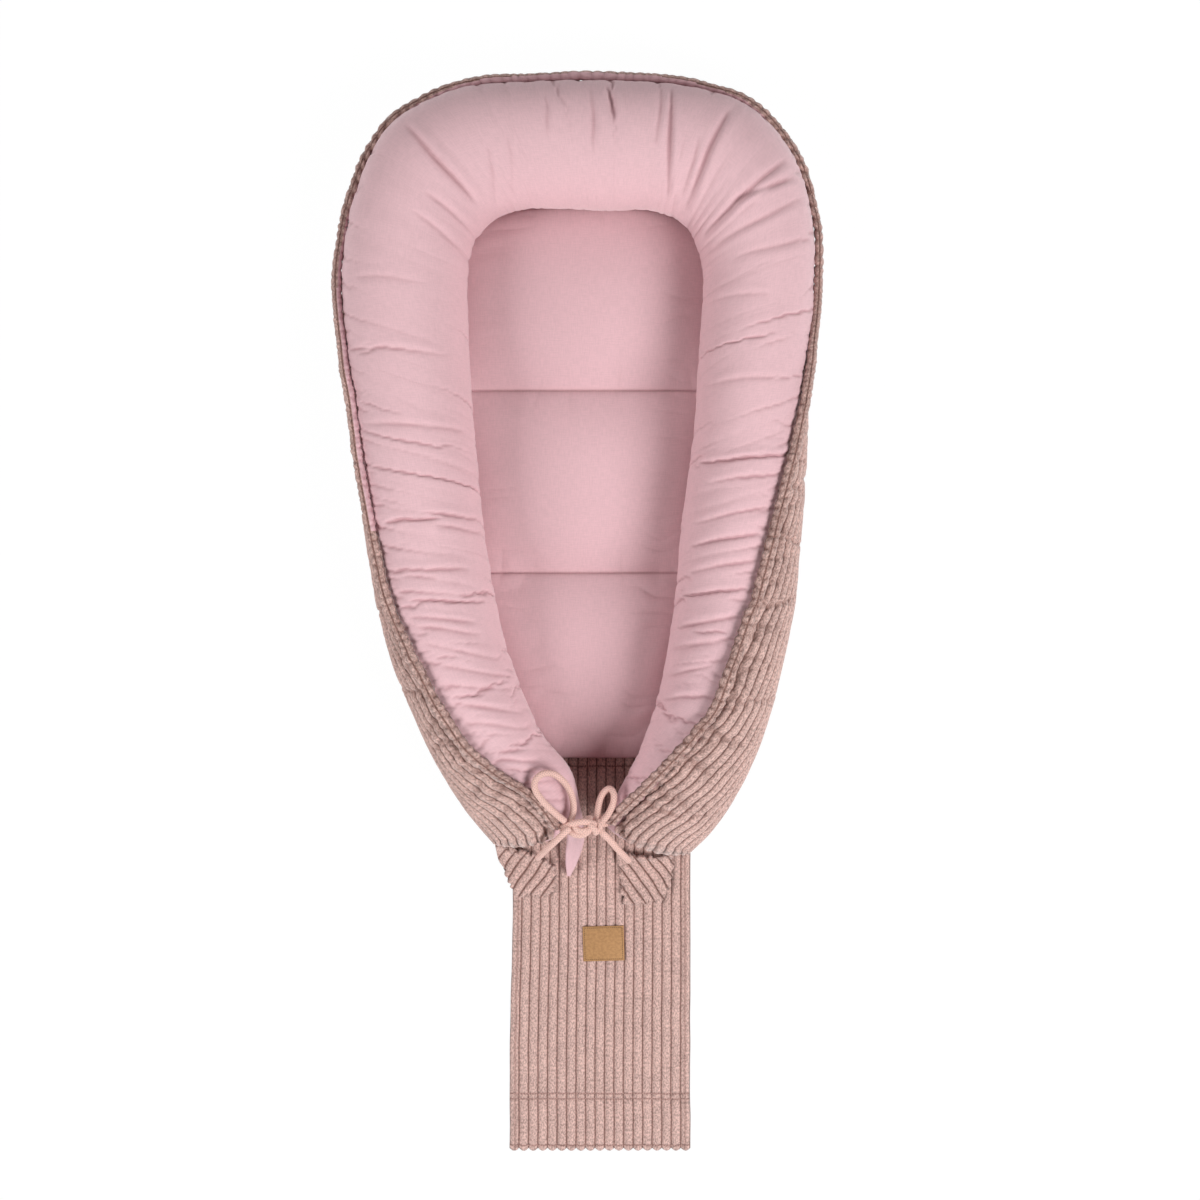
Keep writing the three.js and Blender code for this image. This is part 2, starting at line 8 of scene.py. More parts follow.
import bmesh
import bpy
import numpy as np
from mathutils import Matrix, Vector


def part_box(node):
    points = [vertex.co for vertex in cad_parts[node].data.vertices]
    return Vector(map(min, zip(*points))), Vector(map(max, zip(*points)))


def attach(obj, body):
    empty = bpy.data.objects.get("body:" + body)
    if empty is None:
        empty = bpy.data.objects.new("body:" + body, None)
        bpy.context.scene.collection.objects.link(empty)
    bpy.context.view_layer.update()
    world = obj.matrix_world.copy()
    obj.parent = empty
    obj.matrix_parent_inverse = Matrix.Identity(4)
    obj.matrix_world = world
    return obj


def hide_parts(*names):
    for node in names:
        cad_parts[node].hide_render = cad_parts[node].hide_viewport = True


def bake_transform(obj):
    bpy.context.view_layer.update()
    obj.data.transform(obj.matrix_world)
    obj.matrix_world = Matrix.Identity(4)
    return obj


bl_info = {
    "name": "Infant lounger",
    "version": (1, 0, 0),
    "blender": (4, 5, 0),
    "location": "3D Viewport > Sidebar > Lounger",
    "description": "Builds a padded infant lounger with a drawstring bolster, mattress and foot flap",
    "category": "Add Mesh",
}

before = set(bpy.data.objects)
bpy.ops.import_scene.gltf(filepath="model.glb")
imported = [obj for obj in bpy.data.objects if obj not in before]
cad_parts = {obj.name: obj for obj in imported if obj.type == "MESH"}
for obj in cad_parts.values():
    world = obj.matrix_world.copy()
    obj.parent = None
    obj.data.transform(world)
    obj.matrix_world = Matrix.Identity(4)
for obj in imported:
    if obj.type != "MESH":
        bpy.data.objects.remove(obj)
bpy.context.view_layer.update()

MM = 0.001
NEST = "nest"
FLAP = "flap"

# Sizes of the part, repeated from its source
NEST_WIDTH = 521 * MM
NEST_LENGTH = 843 * MM
SLEEPING_WIDTH = 254 * MM
SLEEPING_LENGTH = 601 * MM
HEAD_BOLSTER_WIDTH = 142 * MM
BOLSTER_HEIGHT = 130 * MM
ARM_END_ROUND = 14 * MM
CORDUROY_THICKNESS = 2.5 * MM
COTTON_THICKNESS = 1.3 * MM
CASING_RADIUS = 5.4 * MM
CLEARANCE = 0.3 * MM
MATTRESS_TUCK = 12 * MM
FLATTENING_SHARE = 0.04
TONGUE_SHARE = 0.5

MATTRESS_FOOT_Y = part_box("mattress_top_cover")[0].y
INNER_HEAD_Y = MATTRESS_FOOT_Y + SLEEPING_LENGTH
HEAD_Y = INNER_HEAD_Y + HEAD_BOLSTER_WIDTH
FLAP_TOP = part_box("flap_corduroy")[1].z
ARM_LIFT = FLAP_TOP + CLEARANCE
MATTRESS_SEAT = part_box("mattress_top_cover")[0].z
MATTRESS_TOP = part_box("mattress_top_cover")[1].z

# The bolster from the end of the left arm round the head to the end of the right arm: outer edge
# across and along, inner edge across and along, height, lift over the flap, and the seam's place,
# as in the part's source
BOLSTER_SHARES = (
    (-0.378, 0.987, 0.043, 1.104, 0.72, 1.0, 0.644),
    (-0.466, 0.954, -0.069, 1.013, 0.82, 1.0, 0.556),
    (-0.567, 0.906, -0.293, 0.955, 0.9, 1.0, 0.464),
    (-0.689, 0.831, -0.5, 0.86, 0.96, 0.4, 0.378),
    (-0.79, 0.753, -0.646, 0.767, 1.0, 0.0, 0.328),
    (-0.858, 0.672, -0.741, 0.67, 1.0, 0.0, 0.265),
    (-0.903, 0.588, -0.81, 0.57, 1.0, 0.0, 0.228),
    (-0.939, 0.497, -0.862, 0.461, 1.0, 0.0, 0.192),
    (-0.97, 0.413, -0.905, 0.343, 1.0, 0.0, 0.161),
    (-0.994, 0.328, -0.933, 0.224, 1.0, 0.0, 0.1),
    (-0.998, 0.238, -0.94, 0.119, 1.0, 0.0, 0.04),
    (-0.941, 0.147, -0.887, 0.06, 1.0, 0.0, 0.028),
    (-0.794, 0.06, -0.715, 0.018, 1.0, 0.0, 0.028),
    (-0.521, 0.013, -0.474, 0.0, 1.0, 0.0, 0.028),
    (-0.206, 0.001, -0.164, -0.002, 1.0, 0.0, 0.028),
    (0.13, 0.0, 0.233, 0.002, 1.0, 0.0, 0.028),
    (0.424, 0.006, 0.612, 0.002, 1.0, 0.0, 0.028),
    (0.71, 0.034, 0.888, 0.026, 1.0, 0.0, 0.028),
    (0.903, 0.101, 1.017, 0.073, 1.0, 0.0, 0.028),
    (0.985, 0.186, 1.058, 0.13, 1.0, 0.0, 0.033),
    (0.99, 0.276, 1.045, 0.193, 1.0, 0.0, 0.056),
    (0.979, 0.354, 1.015, 0.274, 1.0, 0.0, 0.14),
    (0.967, 0.439, 0.985, 0.383, 1.0, 0.0, 0.233),
    (0.956, 0.517, 0.935, 0.474, 1.0, 0.0, 0.31),
    (0.936, 0.601, 0.868, 0.579, 1.0, 0.0, 0.367),
    (0.908, 0.685, 0.823, 0.692, 1.0, 0.0, 0.422),
    (0.85, 0.77, 0.757, 0.791, 1.0, 0.4, 0.478),
    (0.765, 0.861, 0.646, 0.9, 0.96, 1.0, 0.55),
    (0.668, 0.926, 0.5, 0.984, 0.9, 1.0, 0.644),
    (0.565, 0.974, 0.35, 1.049, 0.82, 1.0, 0.728),
    (0.483, 1.0, 0.216, 1.107, 0.72, 1.0, 0.811),
)

# The camera's place and how the photograph's pixels lie on the floor
PHOTO_SIZE_PX = 1200
PHOTO_MIDDLE_PX = 600
METRES_PER_PX = 1.12 * MM
CAMERA_X = 23 * MM
CAMERA_Y = 19 * MM
CAMERA_HEIGHT = 2.4
SENSOR = 36.0
VIEW_DISTANCE = 50


def photo_place(x_px, y_px, z):
    """Where a pixel of the photograph lies on a level plane at height z."""
    scale = METRES_PER_PX * (1 - z / CAMERA_HEIGHT)
    return np.array([
        (x_px - PHOTO_MIDDLE_PX) * scale + CAMERA_X,
        (PHOTO_MIDDLE_PX - y_px) * scale + CAMERA_Y,
    ])


# Folds of the cotton that catch the eye: both ends in the photograph's pixels, then how deep and
# how wide each is
COTTON_FOLDS_PX_MM = (
    ((404, 126), (476, 206), 5.0, 3.6),
    ((428, 196), (478, 236), 2.4, 3.4),
    ((414, 214), (472, 258), 1.8, 3.2),
    ((489, 150), (497, 205), 1.6, 3.2),
    ((511, 140), (513, 205), 1.0, 3.0),
    ((546, 92), (548, 140), 1.4, 3.0),
    ((592, 90), (594, 160), 1.6, 3.4),
    ((609, 86), (616, 122), 4.2, 3.2),
    ((662, 86), (656, 150), 2.2, 3.0),
    ((672, 88), (668, 196), 4.4, 3.0),
    ((728, 110), (684, 208), 4.8, 3.6),
    ((700, 140), (681, 200), 2.4, 3.0),
    ((786, 160), (703, 234), 4.6, 3.6),
    ((796, 180), (728, 204), 3.4, 3.2),
    ((806, 196), (716, 246), 2.2, 3.4),
    ((818, 236), (730, 262), 1.8, 3.6),
    ((352, 276), (428, 286), 1.4, 3.4),
    ((346, 348), (452, 356), 1.8, 3.2),
    ((352, 424), (470, 430), 1.8, 3.2),
    ((384, 520), (446, 521), 3.2, 2.6),
    ((420, 512), (478, 520), 2.4, 2.6),
    ((436, 526), (480, 533), 2.2, 2.6),
    ((388, 570), (470, 571), 3.0, 2.8),
    ((392, 579), (440, 576), 1.8, 2.4),
    ((394, 591), (476, 595), 2.4, 2.6),
    ((404, 600), (484, 602), 1.8, 2.6),
    ((410, 616), (476, 624), 2.6, 2.8),
    ((412, 626), (482, 634), 2.2, 2.6),
    ((420, 642), (500, 660), 2.4, 3.0),
    ((432, 664), (504, 676), 2.4, 3.0),
    ((438, 684), (512, 690), 2.4, 3.0),
    ((450, 700), (524, 716), 2.8, 3.0),
    ((462, 722), (530, 728), 2.0, 2.8),
    ((496, 758), (540, 764), 2.6, 2.6),
    ((500, 766), (546, 776), 3.0, 2.6),
    ((700, 462), (804, 452), 4.0, 2.6),
    ((704, 484), (786, 474), 1.8, 2.8),
    ((706, 300), (770, 296), 1.2, 3.4),
    ((704, 384), (790, 378), 1.4, 3.2),
    ((694, 524), (770, 506), 2.2, 3.0),
    ((690, 546), (758, 534), 2.4, 3.0),
    ((690, 572), (756, 560), 2.2, 3.0),
    ((684, 596), (748, 588), 2.2, 3.0),
    ((678, 628), (738, 616), 2.4, 3.0),
    ((674, 650), (728, 640), 2.2, 3.0),
    ((668, 676), (716, 664), 2.4, 3.0),
    ((660, 700), (706, 694), 2.0, 3.0),
)

# The corduroy's folds on the arms, in the same form
CORDUROY_FOLDS_PX_MM = (
    ((640, 800), (684, 818), 5.5, 3.0),
    ((684, 818), (716, 812), 3.5, 3.0),
    ((440, 716), (424, 736), 3.0, 4.0),
    ((462, 746), (446, 768), 3.5, 4.0),
    ((486, 776), (470, 798), 3.5, 4.0),
    ((512, 802), (496, 822), 3.5, 4.0),
    ((724, 690), (744, 704), 3.5, 4.0),
    ((704, 722), (730, 742), 3.5, 4.0),
    ((682, 752), (712, 776), 3.5, 4.0),
    ((752, 620), (770, 632), 3.0, 4.0),
)
FOLD_HEIGHT = 105 * MM
FOLD_WANDER = 2.2 * MM
FOLD_LIP_SHARE = 0.42

# The bow's cord, in the part's routes, in millimetres
LEFT_LOOP_MM = (
    (-7.5, -216.8, 95.8), (-5.5, -206, 94.5), (-6.5, -195, 95), (-10.5, -184, 98.5),
    (-18, -173.5, 104.5), (-28, -166.5, 111), (-38.5, -166.5, 116.5), (-46, -173.5, 119.5),
    (-46, -183, 120), (-40.5, -192, 118), (-33.5, -200.5, 114.5), (-26, -208, 110),
    (-19, -214.5, 105.5), (-14.5, -218.4, 102.3),
)
RIGHT_LOOP_MM = (
    (18, -223, 97.5), (20, -216.5, 93), (21, -206.5, 88), (23.5, -195.5, 84.5),
    (28.5, -187.5, 84), (33.5, -184.8, 86), (37.5, -189, 89.5), (37.8, -197.5, 91.5),
    (34.5, -206.5, 93), (29.5, -214.5, 95), (23, -221, 98),
)
LEFT_TAIL_MM = (
    (-9, -225, 105.2), (-16, -231, 105.5), (-23, -238, 102), (-30, -245, 95.5),
    (-36.5, -252, 86.5), (-41.5, -258, 76), (-44.5, -262, 65),
)
RIGHT_TAIL_MM = (
    (17, -224.5, 96.8), (25, -231, 94.5), (33.5, -240, 89), (41.5, -250, 81.5),
    (49, -259, 71.5), (54.5, -266, 60),
)

HALF_TURN = math.pi
WHOLE_TURN = 2 * HALF_TURN
UP = np.array([0, 0, 1.0])
SAME_PLACE = 1e-4
LEAST_LENGTH = 1e-12


# Sizes and colours that a user may change


def panel_length(name, description, default):
    """A length in the panel."""
    return bpy.props.FloatProperty(name=name, description=description, default=default, unit="LENGTH")


def panel_colour(name, description, *shade):
    """A colour in the panel, from its red, green and blue."""
    return bpy.props.FloatVectorProperty(
        name=name, description=description, subtype="COLOR", size=4, default=(*shade, 1))


class LoungerSizes(bpy.types.PropertyGroup):
    """Sizes that a maker would change without another pattern."""

    wale_pitch: panel_length("Wale pitch", "From one rib of the corduroy to the next", 10.5 * MM)
    wale_height: panel_length("Wale height", "How far a rib stands over the groove beside it", 2.3 * MM)
    cord_diameter: panel_length("Cord diameter", "Thickness of the drawstring", 7 * MM)
    stitch_length: panel_length("Stitch length", "From one stitch to the next", 3.2 * MM)


class LoungerColours(bpy.types.PropertyGroup):
    """Colours of the cloths and trims."""

    cotton: panel_colour("Cotton", "Pink cotton of the lining and mattress", 0.70, 0.455, 0.485)
    # The crease colour is painted shade, mixed into the cotton's creases and hollows
    crease_shade: panel_colour("Cotton crease", "Deepest creases of the cotton", 0.33, 0.14, 0.155)
    corduroy: panel_colour("Corduroy", "Ribs of the corduroy", 0.56, 0.375, 0.335)
    # The groove colour is painted shade, mixed into the corduroy's grooves and hollows
    groove: panel_colour("Corduroy groove", "Grooves between the corduroy's ribs", 0.185, 0.088, 0.07)
    cord: panel_colour("Cord", "Braided drawstring", 0.75, 0.48, 0.42)
    thread: panel_colour("Thread", "Sewing thread on the corduroy", 0.50, 0.31, 0.28)
    gold: panel_colour("Label", "Gold face of the label", 0.36, 0.195, 0.085)
    filling: panel_colour("Filling", "Fibre filling", 0.86, 0.85, 0.82)


# Repeatable noise

# Odd numbers that scramble a place and a seed, and the bits that are kept of them
SCRAMBLERS = (374761393, 668265263, 974711)
LAST_SCRAMBLER = 1274126177
KEPT_BITS = 0xFFFFFFFF
LOW_BITS = 0xFFFF
VALLEY_POWER = 0.7


def lattice(ix, iy, seed):
    """A repeatable number from -1 to 1 for each pair of whole numbers."""
    mixed = (ix * SCRAMBLERS[0] + iy * SCRAMBLERS[1] + seed * SCRAMBLERS[2]) & KEPT_BITS
    mixed = ((mixed ^ (mixed >> 13)) * LAST_SCRAMBLER) & KEPT_BITS
    return ((mixed ^ (mixed >> 16)) & LOW_BITS) / (LOW_BITS / 2) - 1.0


def noise(x, y, seed):
    """Smooth noise from -1 to 1 over x and y, with features one unit across."""
    x, y = np.broadcast_arrays(np.asarray(x, float), np.asarray(y, float))
    ix, iy = np.floor(x).astype(np.int64), np.floor(y).astype(np.int64)
    fx, fy = x - ix, y - iy
    wx, wy = fx * fx * (3 - 2 * fx), fy * fy * (3 - 2 * fy)
    low = lattice(ix, iy, seed) * (1 - wx) + lattice(ix + 1, iy, seed) * wx
    high = lattice(ix, iy + 1, seed) * (1 - wx) + lattice(ix + 1, iy + 1, seed) * wx
    return low * (1 - wy) + high * wy


def ridged(x, y, seed):
    """Noise with sharp valleys, from 0 in a valley to 1."""
    return np.abs(noise(x, y, seed)) ** VALLEY_POWER


# Ways to shape a value


def smooth_step(low, high, value):
    """0 below low, 1 above high, and a smooth rise between them."""
    share = np.clip((value - low) / (high - low), 0, 1)
    return share * share * (3 - 2 * share)


def near(x, middle, width):
    """How near a value is to a middle, from 0 far away to 1."""
    return np.exp(-(((x - middle) / width) ** 2))


def fading(distance, reach):
    """1 at no distance, and less and less beyond the reach."""
    return np.exp(-distance / reach)


def off_edges(share, rim):
    """0 at both edges, by share of the way between them, and 1 further in than a rim."""
    return smooth_step(0.0, rim, share) * smooth_step(0.0, rim, 1 - share)


# Curves


def unit(vectors):
    """The same directions, each one unit long."""
    return vectors / np.maximum(np.linalg.norm(vectors, axis=-1, keepdims=True), LEAST_LENGTH)


def together(*parts):
    """Arrays of parts of points or of map places, spread to one shape and joined."""
    return np.stack(np.broadcast_arrays(*parts), axis=-1)


def round_turns(sides):
    """Turns at even steps once round."""
    return np.arange(sides) * WHOLE_TURN / sides


def spline(points, shares):
    """A centripetal Catmull-Rom curve through points, at shares of it from 0 to 1."""
    points = np.asarray(points, float)
    last = len(points) - 1
    ends = np.vstack([2 * points[0] - points[1], points, 2 * points[-1] - points[-2]])
    place = np.clip(np.asarray(shares, float), 0, 1) * last
    first = np.minimum(place.astype(int), last - 1)
    w = (place - first)[:, None]
    p0, p1, p2, p3 = (ends[first + k] for k in range(4))
    d0, d1, d2 = (
        np.sqrt(np.linalg.norm(b - a, axis=1, keepdims=True)) for a, b in ((p0, p1), (p1, p2), (p2, p3))
    )
    d1 = np.where(d1 < SAME_PLACE, 1, d1)
    d0 = np.where(d0 < SAME_PLACE, d1, d0)
    d2 = np.where(d2 < SAME_PLACE, d1, d2)
    start = ((p1 - p0) / d0 - (p2 - p0) / (d0 + d1) + (p2 - p1) / d1) * d1
    end = ((p2 - p1) / d1 - (p3 - p1) / (d1 + d2) + (p3 - p2) / d2) * d1
    return (
        p1 + start * w + (3 * (p2 - p1) - 2 * start - end) * w**2
        + (2 * (p1 - p2) + start + end) * w**3
    )


def travelled(points):
    """The distance along a line of points, at each of them."""
    steps = np.linalg.norm(np.diff(points, axis=0), axis=1)
    return np.concatenate([[0], np.cumsum(steps)])


def evenly(points, spacing):
    """The same smooth line with points at an even spacing."""
    fine = spline(points, np.linspace(0, 1, 40 * len(points)))
    along = travelled(fine)
    count = max(2, int(round(along[-1] / spacing)) + 1)
    places = np.linspace(0, along[-1], count)
    return np.column_stack([np.interp(places, along, fine[:, k]) for k in range(3)])


# Sections of the bolster

LEAST_RADIUS = 2 * MM
END_TURN = 0.47 * HALF_TURN
PACING_STEPS = 4000


class Sections:
    """The bolster's cross-sections at shares of the way from the left arm's end to the right's."""

    def __init__(self, shares, scale, shift):
        table = np.array(BOLSTER_SHARES)
        level = np.zeros(len(table))
        outer_y = HEAD_Y - table[:, 1] * NEST_LENGTH
        inner_y = INNER_HEAD_Y - table[:, 3] * SLEEPING_LENGTH
        outer = spline(np.column_stack([table[:, 0] * NEST_WIDTH / 2, outer_y, level]), shares)
        inner = spline(np.column_stack([table[:, 2] * SLEEPING_WIDTH / 2, inner_y, level]), shares)
        height, lift, seam = spline(table[:, 4:7], shares).T
        self.centre = (outer + inner) / 2
        across = outer - inner
        self.half_width = np.linalg.norm(across, axis=1) / 2
        self.outward = across / (2 * self.half_width[:, None])
        self.height = height * BOLSTER_HEIGHT
        self.lift = np.clip(lift, 0, 1) * ARM_LIFT
        self.seam = seam * HALF_TURN
        self.scale = scale
        along = np.column_stack([self.outward[:, 1], -self.outward[:, 0], np.zeros(len(across))])
        along *= -np.sign(along[:, 1:2])
        self.centre = self.centre + along * shift[:, None]
        self.along = travelled(self.centre)

    def half_height(self):
        """Half the height of a section's full round, whose lowest part is flattened."""
        return self.height * (1 + FLATTENING_SHARE) / 2

    def points(self, turn, inset=0.0, lowest=0.0):
        """Points of the sections at turns from the outer side over the top, and their normals."""
        half = self.half_height()[:, None]
        middle = self.height[:, None] - half
        wide = np.maximum(self.half_width[:, None] * self.scale[:, None] - inset, LEAST_RADIUS)
        tall = np.maximum(half * self.scale[:, None] - inset, LEAST_RADIUS)
        across = wide * np.cos(turn)
        up = np.maximum(middle + tall * np.sin(turn), lowest)
        spot = self.centre[:, None] + self.outward[:, None] * across[..., None]
        spot[..., 2] = self.lift[:, None] + up
        facing = unit(np.stack([np.cos(turn) / wide, np.sin(turn) / tall], axis=-1))
        normal = self.outward[:, None] * facing[..., :1]
        normal[..., 2] = facing[..., 1]
        return spot, normal

    def underside(self, share):
        """Points of the flat underside at signed shares of the half width."""
        across = share * (self.half_width * self.scale)[:, None]
        spot = self.centre[:, None] + self.outward[:, None] * across[..., None]
        spot[..., 2] = self.lift[:, None]
        return spot

    def lift_of_rows(self, rows):
        """The lift over the flap, for a grid of points with another number of rows."""
        return np.interp(np.linspace(0, 1, rows), np.linspace(0, 1, len(self.lift)), self.lift)


def rounded(shares, end_steps):
    """Sections at shares, with more of them that draw in round the ends of the arms."""
    turns = np.linspace(0, END_TURN, end_steps + 1)[1:]
    scale = np.concatenate([np.cos(turns[::-1]), np.ones(len(shares)), np.cos(turns)])
    shift = ARM_END_ROUND * np.concatenate([np.sin(turns[::-1]), np.zeros(len(shares)), np.sin(turns)])
    return Sections(np.pad(shares, end_steps, "edge"), scale, shift)


def plain_sections(shares):
    """Sections at shares, without rounded ends."""
    return Sections(shares, np.ones(len(shares)), np.zeros(len(shares)))


def paced_shares(spacing_at_head, spacing_on_arms):
    """Shares along the bolster whose spacing is finer where it runs across the head."""
    fine = np.linspace(0, 1, PACING_STEPS)
    sections = plain_sections(fine)
    sideways = np.abs(sections.outward[:, 0])
    spacing = spacing_at_head + (spacing_on_arms - spacing_at_head) * smooth_step(0.75, 0.98, sideways)
    steps = np.diff(sections.along) / ((spacing[1:] + spacing[:-1]) / 2)
    count = np.concatenate([[0], np.cumsum(steps)])
    return np.interp(np.linspace(0, count[-1], int(count[-1]) + 1), count, fine)


# Meshes


# How a sheet of cloth settles
CLOTH_SETTINGS = dict(
    quality=5, mass=0.01, air_damping=1, tension_stiffness=15, compression_stiffness=15,
    shear_stiffness=5, vertex_group_mass="held", vertex_group_shrink="snug", shrink_max=0,
    use_pressure=True,
)


def dressed(piece, body, finish, nodes):
    """Gives a piece its finish, the body it rides on and the nodes that it stands for."""
    mesh = piece.data
    mesh.materials.append(material_of(finish))
    mesh.polygons.foreach_set("use_smooth", np.ones(len(mesh.polygons), bool))
    if body:
        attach(piece, body)
    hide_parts(*nodes)
    return piece


def added(name, data):
    """A new object in the scene."""
    item = bpy.data.objects.new(name, data)
    bpy.context.scene.collection.objects.link(item)
    return item


def finished(name, mesh, body, finish, nodes):
    """Puts a mesh in the scene as a piece of the lounger."""
    return dressed(added(name, mesh), body, finish, nodes)


def grid_piece(name, body, finish, nodes, grid, uv, **form):
    """A piece made over a grid of points."""
    return finished(name, grid_mesh(name, grid, uv, **form), body, finish, nodes)


def grid_mesh(name, grid, uv, around=False, ends=False, facing=None, hollow=None):
    """A mesh over rows and columns of points, with a UV map in metres and a value of painted shade for its
    hollows.
    """
    rows, columns = grid.shape[:2]
    steps = columns if around else columns - 1
    row, column = np.meshgrid(np.arange(rows - 1), np.arange(steps), indexing="ij")
    corners = ((row, column), (row, column + 1), (row + 1, column + 1), (row + 1, column))
    index = np.stack([r * columns + c % columns for r, c in corners], axis=-1).reshape(-1, 4)
    places = np.stack([uv[r, c % uv.shape[1]] for r, c in corners], axis=-2).reshape(-1, 4, 2)
    faces = index.tolist()
    loops = [places.reshape(-1, 2)]
    points = grid.reshape(-1, 3)
    if ends:
        for first, turned in ((0, True), ((rows - 1) * columns, False)):
            ring = [first + k for k in range(columns)]
            ring = ring[::-1] if turned else ring
            middle = len(points)
            points = np.vstack([points, points[ring].mean(axis=0)])
            for k in range(steps):
                faces.append([ring[k], middle, ring[(k + 1) % columns]])
                loops.append(np.repeat(uv[first // columns, :1], 3, axis=0))
    mesh = bpy.data.meshes.new(name)
    mesh.from_pydata(points.tolist(), [], faces)
    layer = mesh.uv_layers.new(name="cloth")
    layer.data.foreach_set("uv", np.concatenate(loops).astype(np.float32).ravel())
    # Painted shade for the cloth's hollows, kept as a value on each point
    if hollow is not None:
        values = np.zeros(len(points), np.float32)
        values[: hollow.size] = hollow.ravel()
        mesh.attributes.new("hollow", "FLOAT", "POINT").data.foreach_set("value", values)
    if facing is None:
        work = bmesh.new()
        work.from_mesh(mesh)
        bmesh.ops.recalc_face_normals(work, faces=work.faces)
        work.to_mesh(mesh)
        work.free()
    else:
        turned = np.cross(grid[1:, 1:] - grid[:-1, :-1], grid[:-1, 1:] - grid[1:, :-1])
        if (turned * np.broadcast_to(facing, grid.shape)[:-1, :-1]).sum() > 0:
            mesh.flip_normals()
    mesh.validate()
    return mesh


def apply_modifiers(piece):
    """Applies every modifier of a piece, in order."""
    bpy.ops.object.select_all(action="DESELECT")
    bpy.context.view_layer.objects.active = piece
    piece.select_set(True)
    for modifier in list(piece.modifiers):
        bpy.ops.object.modifier_apply(modifier=modifier.name)


def shell(piece, thickness):
    """Gives an open sheet its thickness, behind its face."""
    wall = piece.modifiers.new("Wall", "SOLIDIFY")
    wall.thickness = thickness
    wall.offset = -1
    apply_modifiers(piece)


def sheet_piece(name, body, finish, nodes, grid, uv, thickness, facing=UP, hollow=None):
    """A sheet of cloth over a grid of points, whose map is its flat pattern."""
    piece = grid_piece(name, body, finish, nodes, grid, uv, facing=facing, hollow=hollow)
    shell(piece, thickness)
    return piece


def settle(grid, facing, held, growth, most, bending, pressure, frames):
    """Lets a sheet of cloth, held at some of its points, grow and settle under pressure."""
    rows, columns = grid.shape[:2]
    mesh = grid_mesh("settling", grid, grid[..., :2], facing=facing)
    sheet = added("settling", mesh)
    for name, weights in (("held", held), ("snug", 1 - growth)):
        group = sheet.vertex_groups.new(name=name)
        for index in np.flatnonzero(weights.ravel()):
            group.add((int(index),), float(weights.ravel()[index]), "REPLACE")
    cloth = sheet.modifiers.new("Cloth", "CLOTH")
    for key, value in CLOTH_SETTINGS.items():
        setattr(cloth.settings, key, value)
    cloth.settings.bending_stiffness = bending
    cloth.settings.shrink_min = -most
    cloth.settings.uniform_pressure_force = pressure
    cloth.settings.effector_weights.gravity = 0
    cloth.collision_settings.use_collision = False
    cloth.point_cache.frame_start = 1
    cloth.point_cache.frame_end = frames
    scene = bpy.context.scene
    for frame_number in range(1, frames + 1):
        scene.frame_set(frame_number)
    settled = sheet.evaluated_get(bpy.context.evaluated_depsgraph_get()).data
    places = np.zeros(rows * columns * 3)
    settled.vertices.foreach_get("co", places)
    bpy.data.objects.remove(sheet)
    bpy.data.meshes.remove(mesh)
    scene.frame_set(1)
    return places.reshape(rows, columns, 3)


def refined(grid, rows, columns):
    """A grid of points resampled smoothly to other numbers of rows and columns."""
    for axis, count in ((0, rows), (1, columns)):
        turned = np.moveaxis(grid, axis, 0)
        flat = turned.reshape(len(turned), -1)
        last = len(flat) - 1
        place = np.linspace(0, last, count)
        first = np.minimum(place.astype(int), last - 1)
        w = (place - first)[:, None]
        p0, p1, p2, p3 = (flat[np.clip(first + k, 0, last)] for k in (-1, 0, 1, 2))
        new = 0.5 * (
            2 * p1 + (p2 - p0) * w + (2 * p0 - 5 * p1 + 4 * p2 - p3) * w**2
            + (3 * p1 - p0 - 3 * p2 + p3) * w**3
        )
        grid = np.moveaxis(new.reshape((count,) + turned.shape[1:]), 0, axis)
    return grid


def blurred(grid, rows, columns):
    """A grid averaged over its neighbours, twice each way."""
    for axis, reach in ((0, rows), (1, columns)):
        turned = np.moveaxis(grid, axis, 0)
        count = 2 * reach + 1
        for _ in range(2):
            before = np.repeat(turned[:1], reach + 1, axis=0)
            after = np.repeat(turned[-1:], reach, axis=0)
            summed = np.cumsum(np.concatenate([before, turned, after]), axis=0)
            turned = (summed[count:] - summed[:-count]) / count
        grid = np.moveaxis(turned, 0, axis)
    return grid


def hollows(grid, normal, rows, columns, deepest):
    """How far each point of a grid lies in a hollow of its surface, from 0 to 1."""
    depth = ((blurred(grid, rows, columns) - grid) * normal).sum(axis=-1)
    return np.clip(depth / deepest, 0, 1)


def grid_normals(grid):
    """The unit normal of a grid of points at each of them."""
    return unit(np.cross(np.gradient(grid, axis=0), np.gradient(grid, axis=1)))


def girths(grid):
    """The distance across a grid of points from its first column, at each point."""
    steps = np.linalg.norm(np.diff(grid, axis=1), axis=2)
    return np.concatenate([np.zeros((len(grid), 1)), np.cumsum(steps, axis=1)], axis=1)


def surface_height(grid, x, y):
    """The height of a grid of points nearest to each place."""
    row = np.clip(np.searchsorted(grid[:, 0, 1], y), 0, len(grid) - 1)
    low, high = grid[row, 0, 0], grid[row, -1, 0]
    column = np.clip(np.round((x - low) / (high - low) * (grid.shape[1] - 1)), 0, grid.shape[1] - 1)
    return grid[row, column.astype(int), 2]


# Materials

VECTOR = "NodeSocketVector"
NUMBER = "NodeSocketFloat"
COLOUR_PARTS = 3

# Threads of the cotton to a metre, fibres of a pile to a metre, and strands and lay of the cord
COTTON_THREADS = 1600.0
PILE_FIBRES = 1500.0
THREAD_FIBRES = 4000.0
CORD_STRANDS = 6
CORD_LAY = 340.0

# How deep the relief in a material is
WEAVE_RELIEF = 0.12 * MM
WALE_RELIEF = 0.9 * MM
PILE_RELIEF = 0.5 * MM
BRAID_RELIEF = 0.2 * MM
THREAD_RELIEF = 0.1 * MM
LABEL_RELIEF = 0.12 * MM
WALE_WAVER = 0.6 * MM


